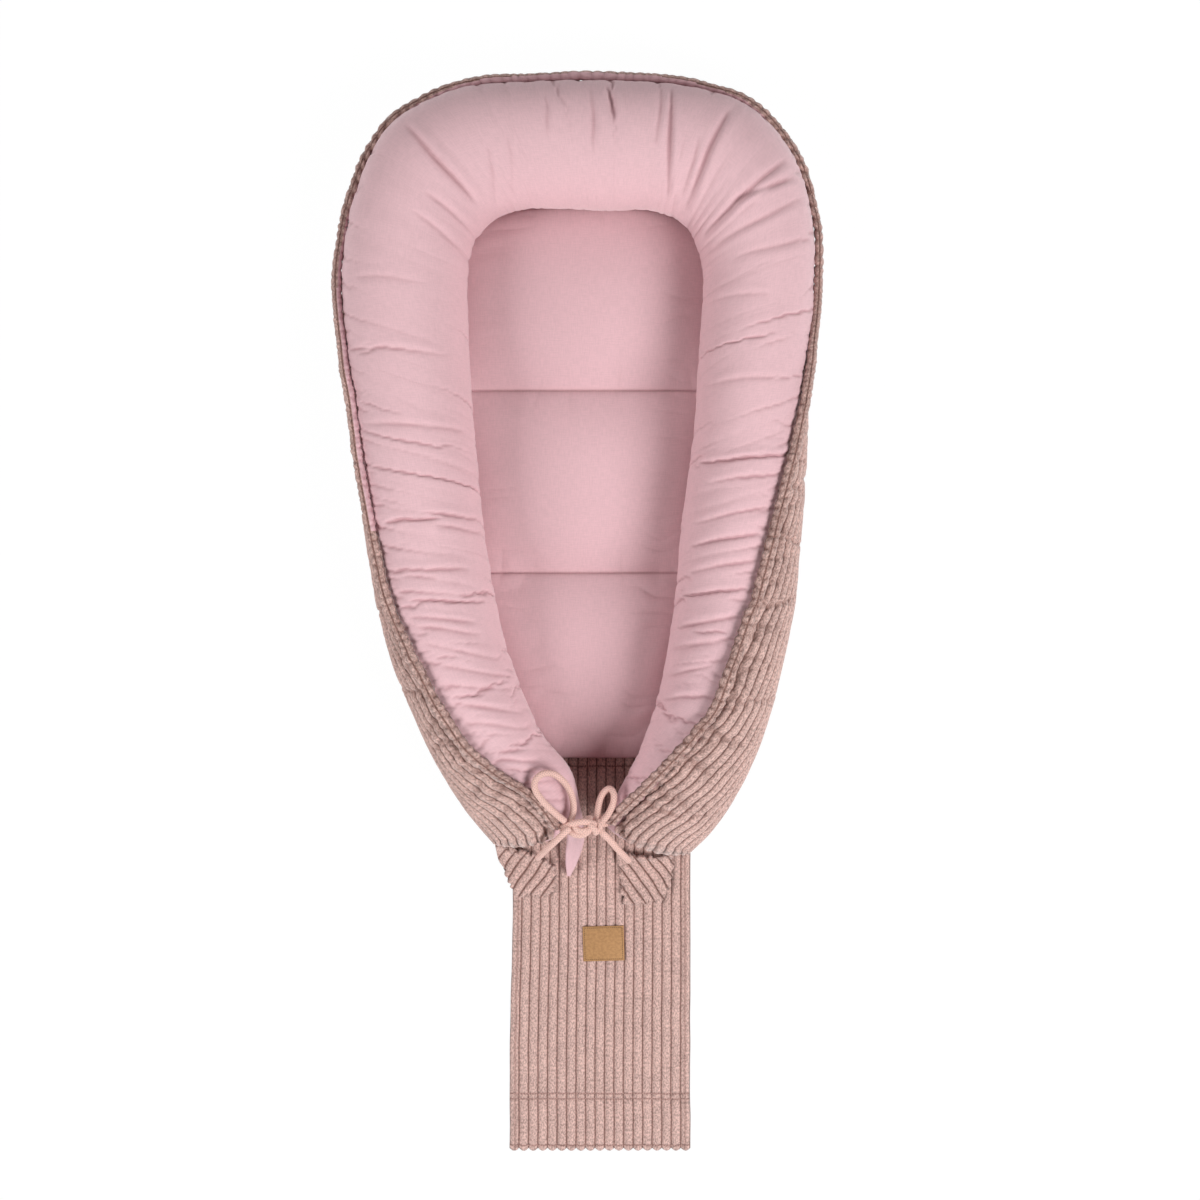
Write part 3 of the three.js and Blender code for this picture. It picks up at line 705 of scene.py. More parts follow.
class Wiring:
    """Short ways to add and join nodes in a tree."""

    def __init__(self, tree):
        self.tree = tree

    def add(self, kind, **values):
        node = self.tree.nodes.new(kind)
        for key, value in values.items():
            setattr(node, key, value)
        return node

    def join(self, source, target):
        self.tree.links.new(source, target)

    def feed(self, target, value):
        if isinstance(value, bpy.types.NodeSocket):
            self.join(value, target)
        elif value is not None:
            target.default_value = value

    def math(self, operation, *values):
        node = self.add("ShaderNodeMath", operation=operation)
        for socket, value in zip(node.inputs, values):
            self.feed(socket, value)
        return node.outputs[0]

    def ramp(self, value, low, high, out_low=0.0, out_high=1.0):
        node = self.add("ShaderNodeMapRange", interpolation_type="SMOOTHSTEP")
        for socket, number in zip(node.inputs, (value, low, high, out_low, out_high)):
            self.feed(socket, number)
        return node.outputs[0]

    def noise(self, vector, scale, detail=2.0, rough=0.5):
        node = self.add("ShaderNodeTexNoise")
        self.feed(node.inputs["Vector"], vector)
        node.inputs["Scale"].default_value = scale
        node.inputs["Detail"].default_value = detail
        node.inputs["Roughness"].default_value = rough
        return node.outputs["Fac"]

    def stretched(self, vector, scale):
        node = self.add("ShaderNodeMapping", vector_type="POINT")
        self.feed(node.inputs["Vector"], vector)
        node.inputs["Scale"].default_value = scale
        return node.outputs[0]

    def split(self, vector):
        node = self.add("ShaderNodeSeparateXYZ")
        self.join(vector, node.inputs[0])
        return node.outputs

    def mix(self, share, first, second):
        node = self.add("ShaderNodeMix", data_type="RGBA")
        self.feed(node.inputs["Factor"], share)
        self.feed(node.inputs["A"], first)
        self.feed(node.inputs["B"], second)
        return node.outputs["Result"]

    def tinted(self, colour, tone):
        """A colour made lighter or darker by a tone about 1."""
        node = self.add("ShaderNodeVectorMath", operation="SCALE")
        plain = not isinstance(colour, bpy.types.NodeSocket)
        self.feed(node.inputs[0], colour[:COLOUR_PARTS] if plain else colour)
        self.feed(node.inputs["Scale"], tone)
        return node.outputs[0]

    def bump(self, height, distance, strength=1.0, normal=None):
        node = self.add("ShaderNodeBump")
        self.feed(node.inputs["Height"], height)
        node.inputs["Distance"].default_value = distance
        node.inputs["Strength"].default_value = strength
        self.feed(node.inputs["Normal"], normal)
        return node.outputs[0]

    def group(self, tree, **values):
        node = self.add("ShaderNodeGroup", node_tree=tree)
        for key, value in values.items():
            self.feed(node.inputs[key], value)
        return node.outputs

    def hollow(self):
        """Painted shade: how far a point lies in a hollow of the cloth, kept in the mesh."""
        return self.add("ShaderNodeAttribute", attribute_name="hollow").outputs["Fac"]

    def seen(self):
        """1 where the camera sees a surface itself, in a mirror or through glass, and else 0."""
        rays = self.add("ShaderNodeLightPath")
        seen = self.math("MAXIMUM", rays.outputs["Is Camera Ray"], rays.outputs["Is Glossy Ray"])
        return self.math("MAXIMUM", seen, rays.outputs["Is Transmission Ray"])


def start_group(name, inputs, outputs):
    """A new shader group with its wiring, its input sockets and its output sockets."""
    group = bpy.data.node_groups.new(name, "ShaderNodeTree")
    for socket, kind in inputs.items():
        group.interface.new_socket(socket, in_out="INPUT", socket_type=kind)
    for socket in outputs:
        group.interface.new_socket(socket, in_out="OUTPUT", socket_type=NUMBER)
    wiring = Wiring(group)
    entry = wiring.add("NodeGroupInput")
    leave = wiring.add("NodeGroupOutput")
    return group, wiring, entry.outputs, leave.inputs


def wale_group():
    """Ribs of corduroy across the first axis of a map in metres, with a mask of painted shade in their
    grooves.
    """
    group, w, given, out = start_group(
        "Corduroy wale", {"Vector": VECTOR, "Pitch": NUMBER, "Start": NUMBER}, ("Height", "Groove shade"))
    across = w.split(given["Vector"])[0]
    waver = w.noise(w.stretched(given["Vector"], (30, 90, 1)), 1.0)
    shifted = w.math("MULTIPLY_ADD", waver, WALE_WAVER, across)
    phase = w.math("FRACT", w.math("DIVIDE", shifted, given["Pitch"]))
    side = w.math("ABSOLUTE", w.math("MULTIPLY_ADD", phase, 2.0, -1.0))
    w.join(w.math("SUBTRACT", 1.0, w.math("POWER", side, 4.0)), out["Height"])
    w.join(w.ramp(side, given["Start"], 1.0), out["Groove shade"])
    return group


def pile_group():
    """Short fibres and flecks of a pile cloth."""
    group, w, given, out = start_group("Cloth pile", {"Vector": VECTOR, "Scale": NUMBER}, ("Height", "Tone"))
    sized = w.add("ShaderNodeVectorMath", operation="SCALE")
    w.join(given["Vector"], sized.inputs[0])
    w.join(given["Scale"], sized.inputs["Scale"])
    fibres = w.noise(w.stretched(sized.outputs[0], (1.0, 0.45, 1.0)), 1.0, detail=4.0, rough=0.7)
    flecks = w.noise(w.stretched(sized.outputs[0], (0.42, 0.24, 1.0)), 1.0, detail=2.0, rough=0.6)
    patches = w.noise(sized.outputs[0], 0.03)
    w.join(fibres, out["Height"])
    tone = w.math("ADD", w.ramp(flecks, 0.31, 0.69, 0.62, 1.31), w.ramp(patches, 0.3, 0.7, -0.06, 0.06))
    w.join(tone, out["Tone"])
    return group


def weave_group():
    """A plain weave with thick and thin threads, over a map in metres."""
    group, w, given, out = start_group(
        "Plain weave", {"Vector": VECTOR, "Threads": NUMBER}, ("Height", "Tone"))
    ways = w.split(given["Vector"])
    waves = [
        w.math("SINE", w.math("MULTIPLY", w.math("MULTIPLY", ways[k], given["Threads"]), WHOLE_TURN))
        for k in (0, 1)
    ]
    crossing = w.math("MULTIPLY", *waves)
    warp = w.noise(w.stretched(given["Vector"], (900, 90, 1)), 1.0, rough=0.7)
    weft = w.noise(w.stretched(given["Vector"], (90, 900, 1)), 1.0, rough=0.7)
    slubs = w.math("ADD", warp, weft)
    w.join(w.math("MULTIPLY_ADD", slubs, 0.8, w.math("MULTIPLY", crossing, 0.35)), out["Height"])
    patches = w.noise(given["Vector"], 9.0, detail=3.0)
    tone = w.math("ADD", w.ramp(slubs, 0.75, 1.25, 0.95, 1.05), w.ramp(patches, 0.3, 0.7, -0.015, 0.015))
    w.join(tone, out["Tone"])
    return group


def braid_group():
    """Strands of a braided cord, over a map of turns round it and metres along it."""
    group, w, given, out = start_group(
        "Cord braid", {"Vector": VECTOR, "Strands": NUMBER, "Lay": NUMBER}, ("Height", "Tone"))
    ways = w.split(given["Vector"])
    turns = w.math("MULTIPLY", ways[0], given["Strands"])
    steps = w.math("MULTIPLY", ways[1], given["Lay"])
    one, two = (
        w.math("SINE", w.math("MULTIPLY", w.math(operation, turns, steps), WHOLE_TURN))
        for operation in ("ADD", "SUBTRACT")
    )
    strand = w.math("MAXIMUM", one, two)
    fuzz = w.noise(w.stretched(given["Vector"], (14, 900, 1)), 1.0, detail=3.0, rough=0.6)
    w.join(w.math("MULTIPLY_ADD", fuzz, 0.5, strand), out["Height"])
    # The tone darkens between the strands as painted shade, with random fuzz over it
    tone = w.math("ADD", w.ramp(strand, -0.4, 1.0, 0.78, 1.06), w.ramp(fuzz, 0.3, 0.7, -0.06, 0.06))
    w.join(tone, out["Tone"])
    return group


GROUP_MAKERS = {
    "Corduroy wale": wale_group,
    "Cloth pile": pile_group,
    "Plain weave": weave_group,
    "Cord braid": braid_group,
}


def shared(name):
    """A node group by name, made when it is first asked for."""
    return bpy.data.node_groups.get(name) or GROUP_MAKERS[name]()


def new_material(name, roughness, sheen):
    """A material with its wiring, its shader's sockets and its cloth map."""
    material = bpy.data.materials.new(name)
    material.use_nodes = True
    w = Wiring(material.node_tree)
    shader = material.node_tree.nodes["Principled BSDF"].inputs
    shader["Roughness"].default_value = roughness
    shader["Sheen Weight"].default_value = sheen
    shader["Sheen Roughness"].default_value = 0.5
    shader["Specular IOR Level"].default_value = 0.2
    places = w.add("ShaderNodeUVMap", uv_map="cloth")
    return material, w, shader, places.outputs[0]


def cotton_finish(name, colour, crease_shade):
    """Plain-woven cotton with painted shade, darker and redder, in its creases."""
    material, w, shader, places = new_material(name, roughness=0.92, sheen=0.3)
    weave = w.group(shared("Plain weave"), Vector=places, Threads=COTTON_THREADS)
    mixed = w.mix(w.math("MULTIPLY", w.hollow(), 0.7), colour, crease_shade)
    w.join(w.tinted(mixed, weave["Tone"]), shader["Base Color"])
    w.join(w.bump(weave["Height"], WEAVE_RELIEF, 0.6), shader["Normal"])
    return material


def corduroy_finish(name, colour, groove, pitch, start, depth):
    """Corduroy with painted shade in its grooves, from a share of the way to their middle and by a depth, and
    in its hollows.
    """
    material, w, shader, places = new_material(name, roughness=0.96, sheen=0.35)
    wale = w.group(shared("Corduroy wale"), Vector=places, Pitch=pitch, Start=start)
    pile = w.group(shared("Cloth pile"), Vector=places, Scale=PILE_FIBRES)
    hollow = w.hollow()
    # Painted shade in the grooves between ribs and in the hollows kept in the mesh
    shade = w.math("MULTIPLY", wale["Groove shade"], depth)
    mixed = w.mix(w.math("MAXIMUM", shade, hollow), colour, groove)
    w.join(w.tinted(mixed, pile["Tone"]), shader["Base Color"])
    ribs = w.bump(wale["Height"], WALE_RELIEF, 0.8)
    w.join(w.bump(pile["Height"], PILE_RELIEF, 0.8, ribs), shader["Normal"])
    return material


def cord_finish(name, colour):
    """The drawstring's braid."""
    material, w, shader, places = new_material(name, roughness=0.85, sheen=0.2)
    strands = w.group(shared("Cord braid"), Vector=places, Strands=float(CORD_STRANDS), Lay=CORD_LAY)
    w.join(w.tinted(colour, strands["Tone"]), shader["Base Color"])
    w.join(w.bump(strands["Height"], BRAID_RELIEF, 0.8), shader["Normal"])
    return material


def thread_finish(name, colour):
    """Sewing thread, and loose fibres."""
    material, w, shader, places = new_material(name, roughness=0.7, sheen=0.1)
    pile = w.group(shared("Cloth pile"), Vector=places, Scale=THREAD_FIBRES)
    w.join(w.tinted(colour, pile["Tone"]), shader["Base Color"])
    w.join(w.bump(pile["Height"], THREAD_RELIEF), shader["Normal"])
    return material


def label_finish(name, colour):
    """Gold imitation leather, satin, with a fine grain."""
    material, w, shader, places = new_material(name, roughness=0.5, sheen=0.0)
    shader["Metallic"].default_value = 0.15
    grain = w.noise(places, 900.0, detail=3.0, rough=0.6)
    clouds = w.noise(places, 60.0)
    w.join(w.tinted(colour, w.ramp(clouds, 0.3, 0.7, 0.88, 1.12)), shader["Base Color"])
    w.join(w.ramp(grain, 0.3, 0.7, 0.44, 0.6), shader["Roughness"])
    w.join(w.bump(grain, LABEL_RELIEF, 0.6), shader["Normal"])
    return material


def material_of(finish):
    """A finish of the lounger by name, made when it is first asked for."""
    if finish in bpy.data.materials:
        return bpy.data.materials[finish]
    colours = bpy.context.scene.lounger_colours
    pitch = bpy.context.scene.lounger_sizes.wale_pitch
    label_thread = [0.5 * part for part in colours.gold[:COLOUR_PARTS]] + [1]
    maker, *values = {
        "cotton_cloth": (cotton_finish, colours.cotton[:], colours.crease_shade[:]),
        # For the corduroy, the two numbers after the pitch say where painted shade starts in its grooves and
        # how strong it is
        "corduroy_cloth": (corduroy_finish, colours.corduroy[:], colours.groove[:], pitch, 0.62, 1.0),
        "corduroy_flat": (corduroy_finish, colours.corduroy[:], colours.groove[:], pitch, 0.72, 0.95),
        "braided_cord": (cord_finish, colours.cord[:]),
        "sewing_thread": (thread_finish, colours.thread[:]),
        "label_face": (label_finish, colours.gold[:]),
        "label_sewing": (thread_finish, label_thread),
        "fibre_filling": (thread_finish, colours.filling[:]),
    }[finish]
    return maker(finish, *values)


# Relief of the cloth

RIB_ROUND = 2.2
RIB_FADE = 30 * MM
STEP_DOWN = 20 * MM
SINK = 70 * MM
SETTLING_FRAMES = 20
BULGE_REACH = (9, 5)
GATHERED_RIM = 0.08


def folds_relief(grid, folds):
    """How far folds, given by their ends in the photograph, push a surface in."""
    depth = np.zeros(grid.shape[:-1])
    for start_px, end_px, deep, wide in folds:
        start = photo_place(*start_px, FOLD_HEIGHT)
        line = photo_place(*end_px, FOLD_HEIGHT) - start
        length = np.linalg.norm(line)
        line = line / length
        offset = grid[..., :2] - start
        along = (offset @ line) / length
        across = offset @ np.array([-line[1], line[0]])
        across = across + FOLD_WANDER * noise(along * 2.3, deep, 17)
        reach = np.clip(along * (1 - along) * 4, 0, None) ** 0.6
        reach = np.where((along > 0) & (along < 1), reach, 0)
        width = wide * MM
        valley = np.exp(-np.abs(across / width) ** 1.4)
        lip = near(across, 2.1 * width, 1.5 * width)
        depth += deep * MM * reach * (valley - FOLD_LIP_SHARE * lip)
    return depth


def rib_side(ribs):
    """How far each place is from the middle of its rib, from 0 to 1, by ribs counted across."""
    return np.abs(2 * (ribs - np.floor(ribs)) - 1)


def wale_relief(across, sizes):
    """The height of the corduroy's ribs by distance across them."""
    return sizes.wale_height * (1 - rib_side(across / sizes.wale_pitch) ** RIB_ROUND)


def settled_on_base(grid, lift, weights):
    """Lets a cover that is lifted over the flap come down on the base beside it."""
    beside = smooth_step(MATTRESS_FOOT_Y, MATTRESS_FOOT_Y + STEP_DOWN, grid[..., 1])
    grid[..., 2] -= lift[:, None] * beside * weights


def gathered(base, normal, seeds, growth, most, bending, pressure):
    """The base surface with the wrinkles that a larger sheet, sewn down at its edges, falls into."""
    girth = girths(base)
    share = girth / girth[:, -1:]
    held = np.zeros(share.shape)
    held[:, 0] = held[:, -1] = held[0] = held[-1] = 1
    sink = growth * most * SINK * np.sin(HALF_TURN * share)
    start = base + normal * (seeds - sink)[..., None]
    moved = settle(start, normal, held, growth, most, bending, pressure, SETTLING_FRAMES) - base
    return base + moved - blurred(moved, *BULGE_REACH) * off_edges(share, GATHERED_RIM)[..., None]


def covered(name, nodes, finish, front, back, uv, dark):
    """A closed piece of a cover: its outside, with painted shade in its hollows, and its plain inside."""
    rows, columns = back.shape[:2]
    whole = np.concatenate([front, back], axis=1)
    uv = np.concatenate([uv, np.repeat(uv[:, -1:], columns + 1, axis=1)], axis=1)
    dark = np.concatenate([dark, np.zeros((rows, columns))], axis=1)
    piece = grid_piece(name, NEST, finish, nodes, whole, uv, around=True, ends=True, hollow=dark)


# Bolster

# The cotton's rows round the arms' ends, and its columns before and after it settles and inside it
COTTON_SPACINGS = (2.5 * MM, 2.6 * MM)
COTTON_END_ROWS = 12
COTTON_COLUMNS = 46
COTTON_FINE_COLUMNS = 90
COTTON_BACK_COLUMNS = 8
COTTON_BACK_INSET = 8.5 * MM
COTTON_SEAT = CORDUROY_THICKNESS + 2 * CLEARANCE

# How far the cotton starts under the casing, and how much less of it on the arms
COTTON_SEAM_TUCK = 0.03
COTTON_SEAM_EASE = 0.012
COTTON_INSET = 1.2 * MM
COTTON_EDGE_INSET = 2.2 * MM

# Where the cotton has most cloth to spare: the share of the way along the bolster, its reach, how much
COTTON_SLACK_MOST = 0.046
COTTON_SLACK_LEAST = 0.34
COTTON_SLACK_SHARES = (
    (0.19, 0.05, 0.5), (0.08, 0.05, 0.1), (0.90, 0.07, 0.15),
    (0.78, 0.04, 0.25), (0.60, 0.05, 0.25), (0.38, 0.02, 0.15),
)

# The cotton's wrinkles: their spacing along the bolster, their length round it and their depth
WRINKLE_SPACING = 12.5 * MM
WRINKLE_LENGTH = 200 * MM
WRINKLE_DEPTH = 2.3 * MM
WRINKLE_SKEW = 0.3
WRINKLE_WANDER = 4 * MM
WANDER_LENGTH = 90 * MM
WANDER_GIRTH = 120 * MM
SKEW_LENGTH = 100 * MM
CRINKLE_SPACING = 7.5 * MM
CRINKLE_DEPTH = 0.5 * MM
PUCKER_SPACING = 6 * MM
PUCKER_LENGTH = 100 * MM
PUCKER_REACH = 12 * MM
CREASE_SPACING = 19 * MM
CREASE_LENGTH = 250 * MM
CREASE_SHARPNESS = 0.11
CREASE_DEPTH = 1.6 * MM
CREASED_PATCH = 35 * MM

# How much of a fold is pressed in before the cloth settles, and how much afterwards
COTTON_FOLD_BEFORE = 0.55
COTTON_FOLD_AFTER = 0.45
CORDUROY_FOLD_BEFORE = 0.8

# How deep a hollow of the cotton is when its painted shade is full, and how far the painted shade beside the
# seam reaches
COTTON_HOLLOW = 1.1 * MM
SEAM_SHADE_REACH = 2.4 * MM


def cotton_slack(shares, girth_share):
    """How much more cloth than it covers the cotton has, as a share of the most."""
    base = COTTON_SLACK_LEAST + 0.12 * np.abs(noise(shares * 14, 0, 33))
    for place, reach, more in COTTON_SLACK_SHARES:
        base = base + more * near(shares, place, reach)
    return np.clip(base[:, None] * (0.8 + 0.2 * np.abs(2 * girth_share - 1)), 0, 1)


def fine_creases(bend, girth, slack):
    """How deep the thin straight creases round the bolster are, where the cotton is slack."""
    line = fading(np.abs(noise(bend / CREASE_SPACING, girth / CREASE_LENGTH, 13)), CREASE_SHARPNESS)
    shown = np.clip(0.35 + noise(bend / CREASED_PATCH, girth / (2 * CREASED_PATCH), 15), 0, 1)
    return CREASE_DEPTH * line * shown * slack * np.sin(HALF_TURN * girth / girth[:, -1:])


def bolster_cotton():
    """The cotton over the top and inner side of the bolster."""
    shares = paced_shares(*COTTON_SPACINGS)
    sections = rounded(shares, COTTON_END_ROWS)
    shares = np.pad(shares, COTTON_END_ROWS, "edge")
    half = sections.half_height()
    drop = np.clip((sections.height - half - COTTON_SEAT) / (half * sections.scale), 0, 1)
    last = HALF_TURN + np.arcsin(drop)
    tuck = COTTON_SEAM_TUCK - COTTON_SEAM_EASE * smooth_step(0.1, 0.3, sections.seam / HALF_TURN)
    first = sections.seam - tuck * HALF_TURN
    turn = first[:, None] + (last - first)[:, None] * np.linspace(0, 1, COTTON_COLUMNS)
    inset = COTTON_INSET + COTTON_EDGE_INSET * fading(np.arange(COTTON_COLUMNS), 0.6)[None]
    base, normal = sections.points(turn, inset, COTTON_SEAT)
    girth = girths(base)
    girth_share = girth / girth[:, -1:]
    along = np.broadcast_to(sections.along[:, None], girth.shape)
    skew = WRINKLE_SKEW * (1 - smooth_step(0.26, 0.42, shares) - smooth_step(0.58, 0.74, shares))
    bend = along + WRINKLE_WANDER * noise(along / WANDER_LENGTH, girth / WANDER_GIRTH, 3)
    bend = bend + (skew[:, None] + 0.08 * noise(along / SKEW_LENGTH, 0, 5)) * girth
    slack = cotton_slack(shares, girth_share)
    seeds = WRINKLE_DEPTH * slack * (ridged(bend / WRINKLE_SPACING, girth / WRINKLE_LENGTH, 7) - 0.5)
    seeds += CRINKLE_DEPTH * slack * noise(bend / CRINKLE_SPACING, girth / WRINKLE_LENGTH, 9)
    puckers = noise(along / PUCKER_SPACING, girth / PUCKER_LENGTH, 11)
    seeds += CRINKLE_DEPTH * puckers * fading(girth, PUCKER_REACH)
    seeds -= COTTON_FOLD_BEFORE * folds_relief(base, COTTON_FOLDS_PX_MM)
    seeds *= off_edges(girth_share, 0.05)
    settled = gathered(base, normal, seeds, slack, COTTON_SLACK_MOST, bending=0.3, pressure=60)
    rows, columns = 2 * len(settled), COTTON_FINE_COLUMNS
    grid = refined(settled, rows, columns)
    facing = refined(normal, rows, columns)
    ways = refined(together(along, girth, bend, slack), rows, columns)
    along, girth, bend, slack = np.moveaxis(ways, -1, 0)
    folds = COTTON_FOLD_AFTER * folds_relief(refined(base, rows, columns), COTTON_FOLDS_PX_MM)
    grid = grid - facing * (folds + fine_creases(bend, girth, slack))[..., None]
    # Painted shade in the cotton's hollows and along its seam beside the casing
    dark = 0.7 * hollows(grid, facing, 3, 1, COTTON_HOLLOW)
    dark = np.maximum(dark, fading(girth, SEAM_SHADE_REACH))
    lift = sections.lift_of_rows(rows)
    grid[..., 2] = np.maximum(grid[..., 2], lift[:, None] + COTTON_SEAT)
    settled_on_base(grid, lift, smooth_step(0.8, 1, np.linspace(0, 1, columns)))
    back_turn = last[:, None] + (first - last)[:, None] * np.linspace(0, 1, COTTON_BACK_COLUMNS)
    back, _ = sections.points(back_turn, COTTON_BACK_INSET, COTTON_SEAT + MM)
    covered(
        "bolster_cotton", ["bolster_cotton_cover"], "cotton_cloth",
        grid, refined(back, rows, COTTON_BACK_COLUMNS), ways[..., :2], dark)


# The corduroy's rows and columns, in the same way, and those of its underside
CORDUROY_SPACING = 3.4 * MM
CORDUROY_END_ROWS = 22
CORDUROY_COLUMNS = 40
CORDUROY_FINE_COLUMNS = 140
CORDUROY_ROW_RATIO = 1.8
CORDUROY_BACK_COLUMNS = 7
CORDUROY_BACK_INSET = 9.5 * MM
CORDUROY_BACK_SEAT = 4 * MM
CORDUROY_INSET = 2.0 * MM
UNDER_POINTS = 12
UNDER_COLUMNS = 36

# Its wrinkles, and the short breaks in its ribs beside the seam
CORDUROY_SLACK_MOST = 0.08
CORDUROY_WRINKLE_SPACING = 16 * MM
CORDUROY_WRINKLE_LENGTH = 90 * MM
CORDUROY_WRINKLE_DEPTH = 2.0 * MM
CORDUROY_WANDER = 6 * MM
WANDER_SPACING = 60 * MM
SEAM_REACH = 40 * MM
BREAK_SPACING = 12.5 * MM
BREAK_LENGTH = 35 * MM
BREAK_DEPTH = 2.4 * MM
CORDUROY_HOLLOW = 1.4 * MM

# How the ribs spread, drift and kink on the arms
RIB_DRIFT = 0.1
RIB_SPREAD = 1.08
ARM_PLUMP = 1.3
KINK_SPACING = 19 * MM
KINK_LENGTH = 80 * MM
KINK_REACH = 90 * MM
KINK_SIZE = 3.3 * MM


def straight_over_ends(from_seam, offset, first, last):
    """The ribs' places, with those that reach an arm's round end carried straight on over it."""
    places = from_seam.copy()
    for whole, rows in ((first, range(first)), (last, range(last + 1, len(offset)))):
        widest = int(np.argmax(offset[whole]))
        at_whole = from_seam[whole]
        below = np.exp((at_whole[widest] - at_whole[:widest]) / RIB_FADE)
        for row in rows:
            places[row, widest:] = np.interp(
                offset[row, widest:], offset[whole, widest:][::-1], at_whole[widest:][::-1])
            moved = places[row, widest] - at_whole[widest]
            places[row, :widest] = at_whole[:widest] + moved * below
    return places


def bolster_corduroy(sizes):
    """The corduroy under the bolster and up its outer side, with ribs that follow the flat pattern."""
    sections = rounded(paced_shares(CORDUROY_SPACING, CORDUROY_SPACING), CORDUROY_END_ROWS)
    corner = math.asin(-(1 - FLATTENING_SHARE) / (1 + FLATTENING_SHARE))
    last = sections.seam + COTTON_SEAM_EASE * HALF_TURN
    turn = corner + (last - corner)[:, None] * np.linspace(0, 1, CORDUROY_COLUMNS)
    base, normal = sections.points(turn, CORDUROY_INSET)
    girth = girths(base)
    to_seam = girth[:, -1:] - girth
    along = np.broadcast_to(sections.along[:, None], girth.shape)
    on_arms = smooth_step(0.55, 0.9, np.abs(sections.outward[:, 0]))[:, None]
    on_arms = on_arms * smooth_step(0.05, 0.25, sections.seam[:, None] / HALF_TURN)
    bend = along + CORDUROY_WANDER * noise(along / WANDER_SPACING, girth / WANDER_SPACING, 23)
    near_seam = fading(to_seam, SEAM_REACH)
    wrinkles = ridged(bend / CORDUROY_WRINKLE_SPACING, girth / CORDUROY_WRINKLE_LENGTH, 25) - 0.5
    seeds = CORDUROY_WRINKLE_DEPTH * wrinkles * (0.2 + on_arms) * near_seam
    seeds -= CORDUROY_FOLD_BEFORE * folds_relief(base, CORDUROY_FOLDS_PX_MM)
    free = smooth_step(0.0, 0.06, girth / girth[:, -1:]) * smooth_step(0.0, 0.03, to_seam / girth[:, -1:])
    slack = (0.15 + 0.85 * on_arms) * (0.05 + 0.95 * near_seam)
    settled = gathered(base, normal, seeds * free, slack, CORDUROY_SLACK_MOST, bending=3.0, pressure=120)
    rows, columns = int(CORDUROY_ROW_RATIO * len(settled)), CORDUROY_FINE_COLUMNS
    across_under = np.linspace(-TONGUE_SHARE, math.cos(corner), UNDER_POINTS)[None, :-1]
    under = refined(sections.underside(across_under), rows, UNDER_COLUMNS)
    smooth = np.concatenate([under, refined(base, rows, columns)], axis=1)
    grid = np.concatenate([under, refined(settled, rows, columns)], axis=1)
    from_seam = girths(smooth)
    from_seam = from_seam[:, -1:] - from_seam
    middle = refined(np.stack([sections.centre, sections.outward], axis=1), rows, 2)
    offset = ((smooth - middle[:, :1]) * middle[:, 1:]).sum(axis=-1)
    whole = int(math.ceil(CORDUROY_END_ROWS * (rows - 1) / (len(settled) - 1)))
    from_seam = straight_over_ends(from_seam, offset, whole, rows - 1 - whole)
    ahead = np.broadcast_to(refined(along[:, :1], rows, 1), from_seam.shape)
    arms = refined(on_arms, rows, 1)
    drift = RIB_DRIFT * (ahead - ahead.mean()) * np.sign(ahead - ahead.mean()) * arms
    kink = noise(ahead / KINK_SPACING, from_seam / KINK_LENGTH, 27) * fading(from_seam, KINK_REACH)
    across = from_seam / RIB_SPREAD + drift + KINK_SIZE * kink * arms
    face = grid_normals(grid)
    if (face[:, UNDER_COLUMNS:] * refined(normal, rows, columns)).sum() < 0:
        face = -face
    jumble = 0.5 * noise(ahead / SEAM_REACH, from_seam / SEAM_REACH, 28)
    broken = ridged(ahead / BREAK_SPACING + jumble, from_seam / BREAK_LENGTH, 29)
    broken = (1 - np.clip(broken / 0.4, 0, 1)) * near(from_seam, 0, SEAM_REACH) * (0.25 + 0.75 * arms)
    # Painted shade in the corduroy's hollows and in the dips where its ribs break
    dark = np.maximum(0.5 * hollows(grid, face, 2, 2, CORDUROY_HOLLOW), 0.55 * broken)
    grid = grid - face * (BREAK_DEPTH * broken)[..., None]
    ribs = ARM_PLUMP * (wale_relief(across, sizes) - sizes.wale_height)
    grid = grid + face * ribs[..., None]
    lift = sections.lift_of_rows(rows)
    grid[..., 2] = np.maximum(grid[..., 2], lift[:, None])
    settled_on_base(grid[:, :UNDER_COLUMNS], lift, smooth_step(0.6, 0, np.linspace(0, 1, UNDER_COLUMNS)))
    back_turn = last[:, None] + (corner - last)[:, None] * np.linspace(0, 1, CORDUROY_BACK_COLUMNS)
    back, _ = sections.points(back_turn, CORDUROY_BACK_INSET, CORDUROY_BACK_SEAT)
    covered(
        "bolster_corduroy", ["bolster_corduroy_cover"], "corduroy_cloth",
        grid, refined(back, rows, CORDUROY_BACK_COLUMNS), together(across, ahead), dark)


STUFFING_START = 0.008
STUFFING_ROWS = 160
STUFFING_END_ROWS = 6
STUFFING_SIDES = 28
STUFFING_ROUND = 0.4
STUFFING_INSET = 11 * MM
STUFFING_SEAT = 6 * MM
STUFFING_LUMP = 1.2 * MM
STUFFING_LUMP_SPACING = 20 * MM


def bolster_stuffing():
    """The fibre filling, just inside the covers."""
    sections = rounded(np.linspace(STUFFING_START, 1 - STUFFING_START, STUFFING_ROWS), STUFFING_END_ROWS)
    turn = round_turns(STUFFING_SIDES)[None] + np.zeros((len(sections.centre), 1))
    grid, normal = sections.points(turn, STUFFING_INSET, STUFFING_SEAT)
    along = sections.along[:, None]
    grid = grid + normal * (STUFFING_LUMP * noise(along / STUFFING_LUMP_SPACING, turn * 3, 31))[..., None]
    uv = together(along, np.linspace(0, STUFFING_ROUND, STUFFING_SIDES + 1)[None])
    piece = grid_piece(
        "bolster_stuffing", NEST, "fibre_filling", ["bolster_filling"], grid, uv, around=True, ends=True)


# Mattress and base

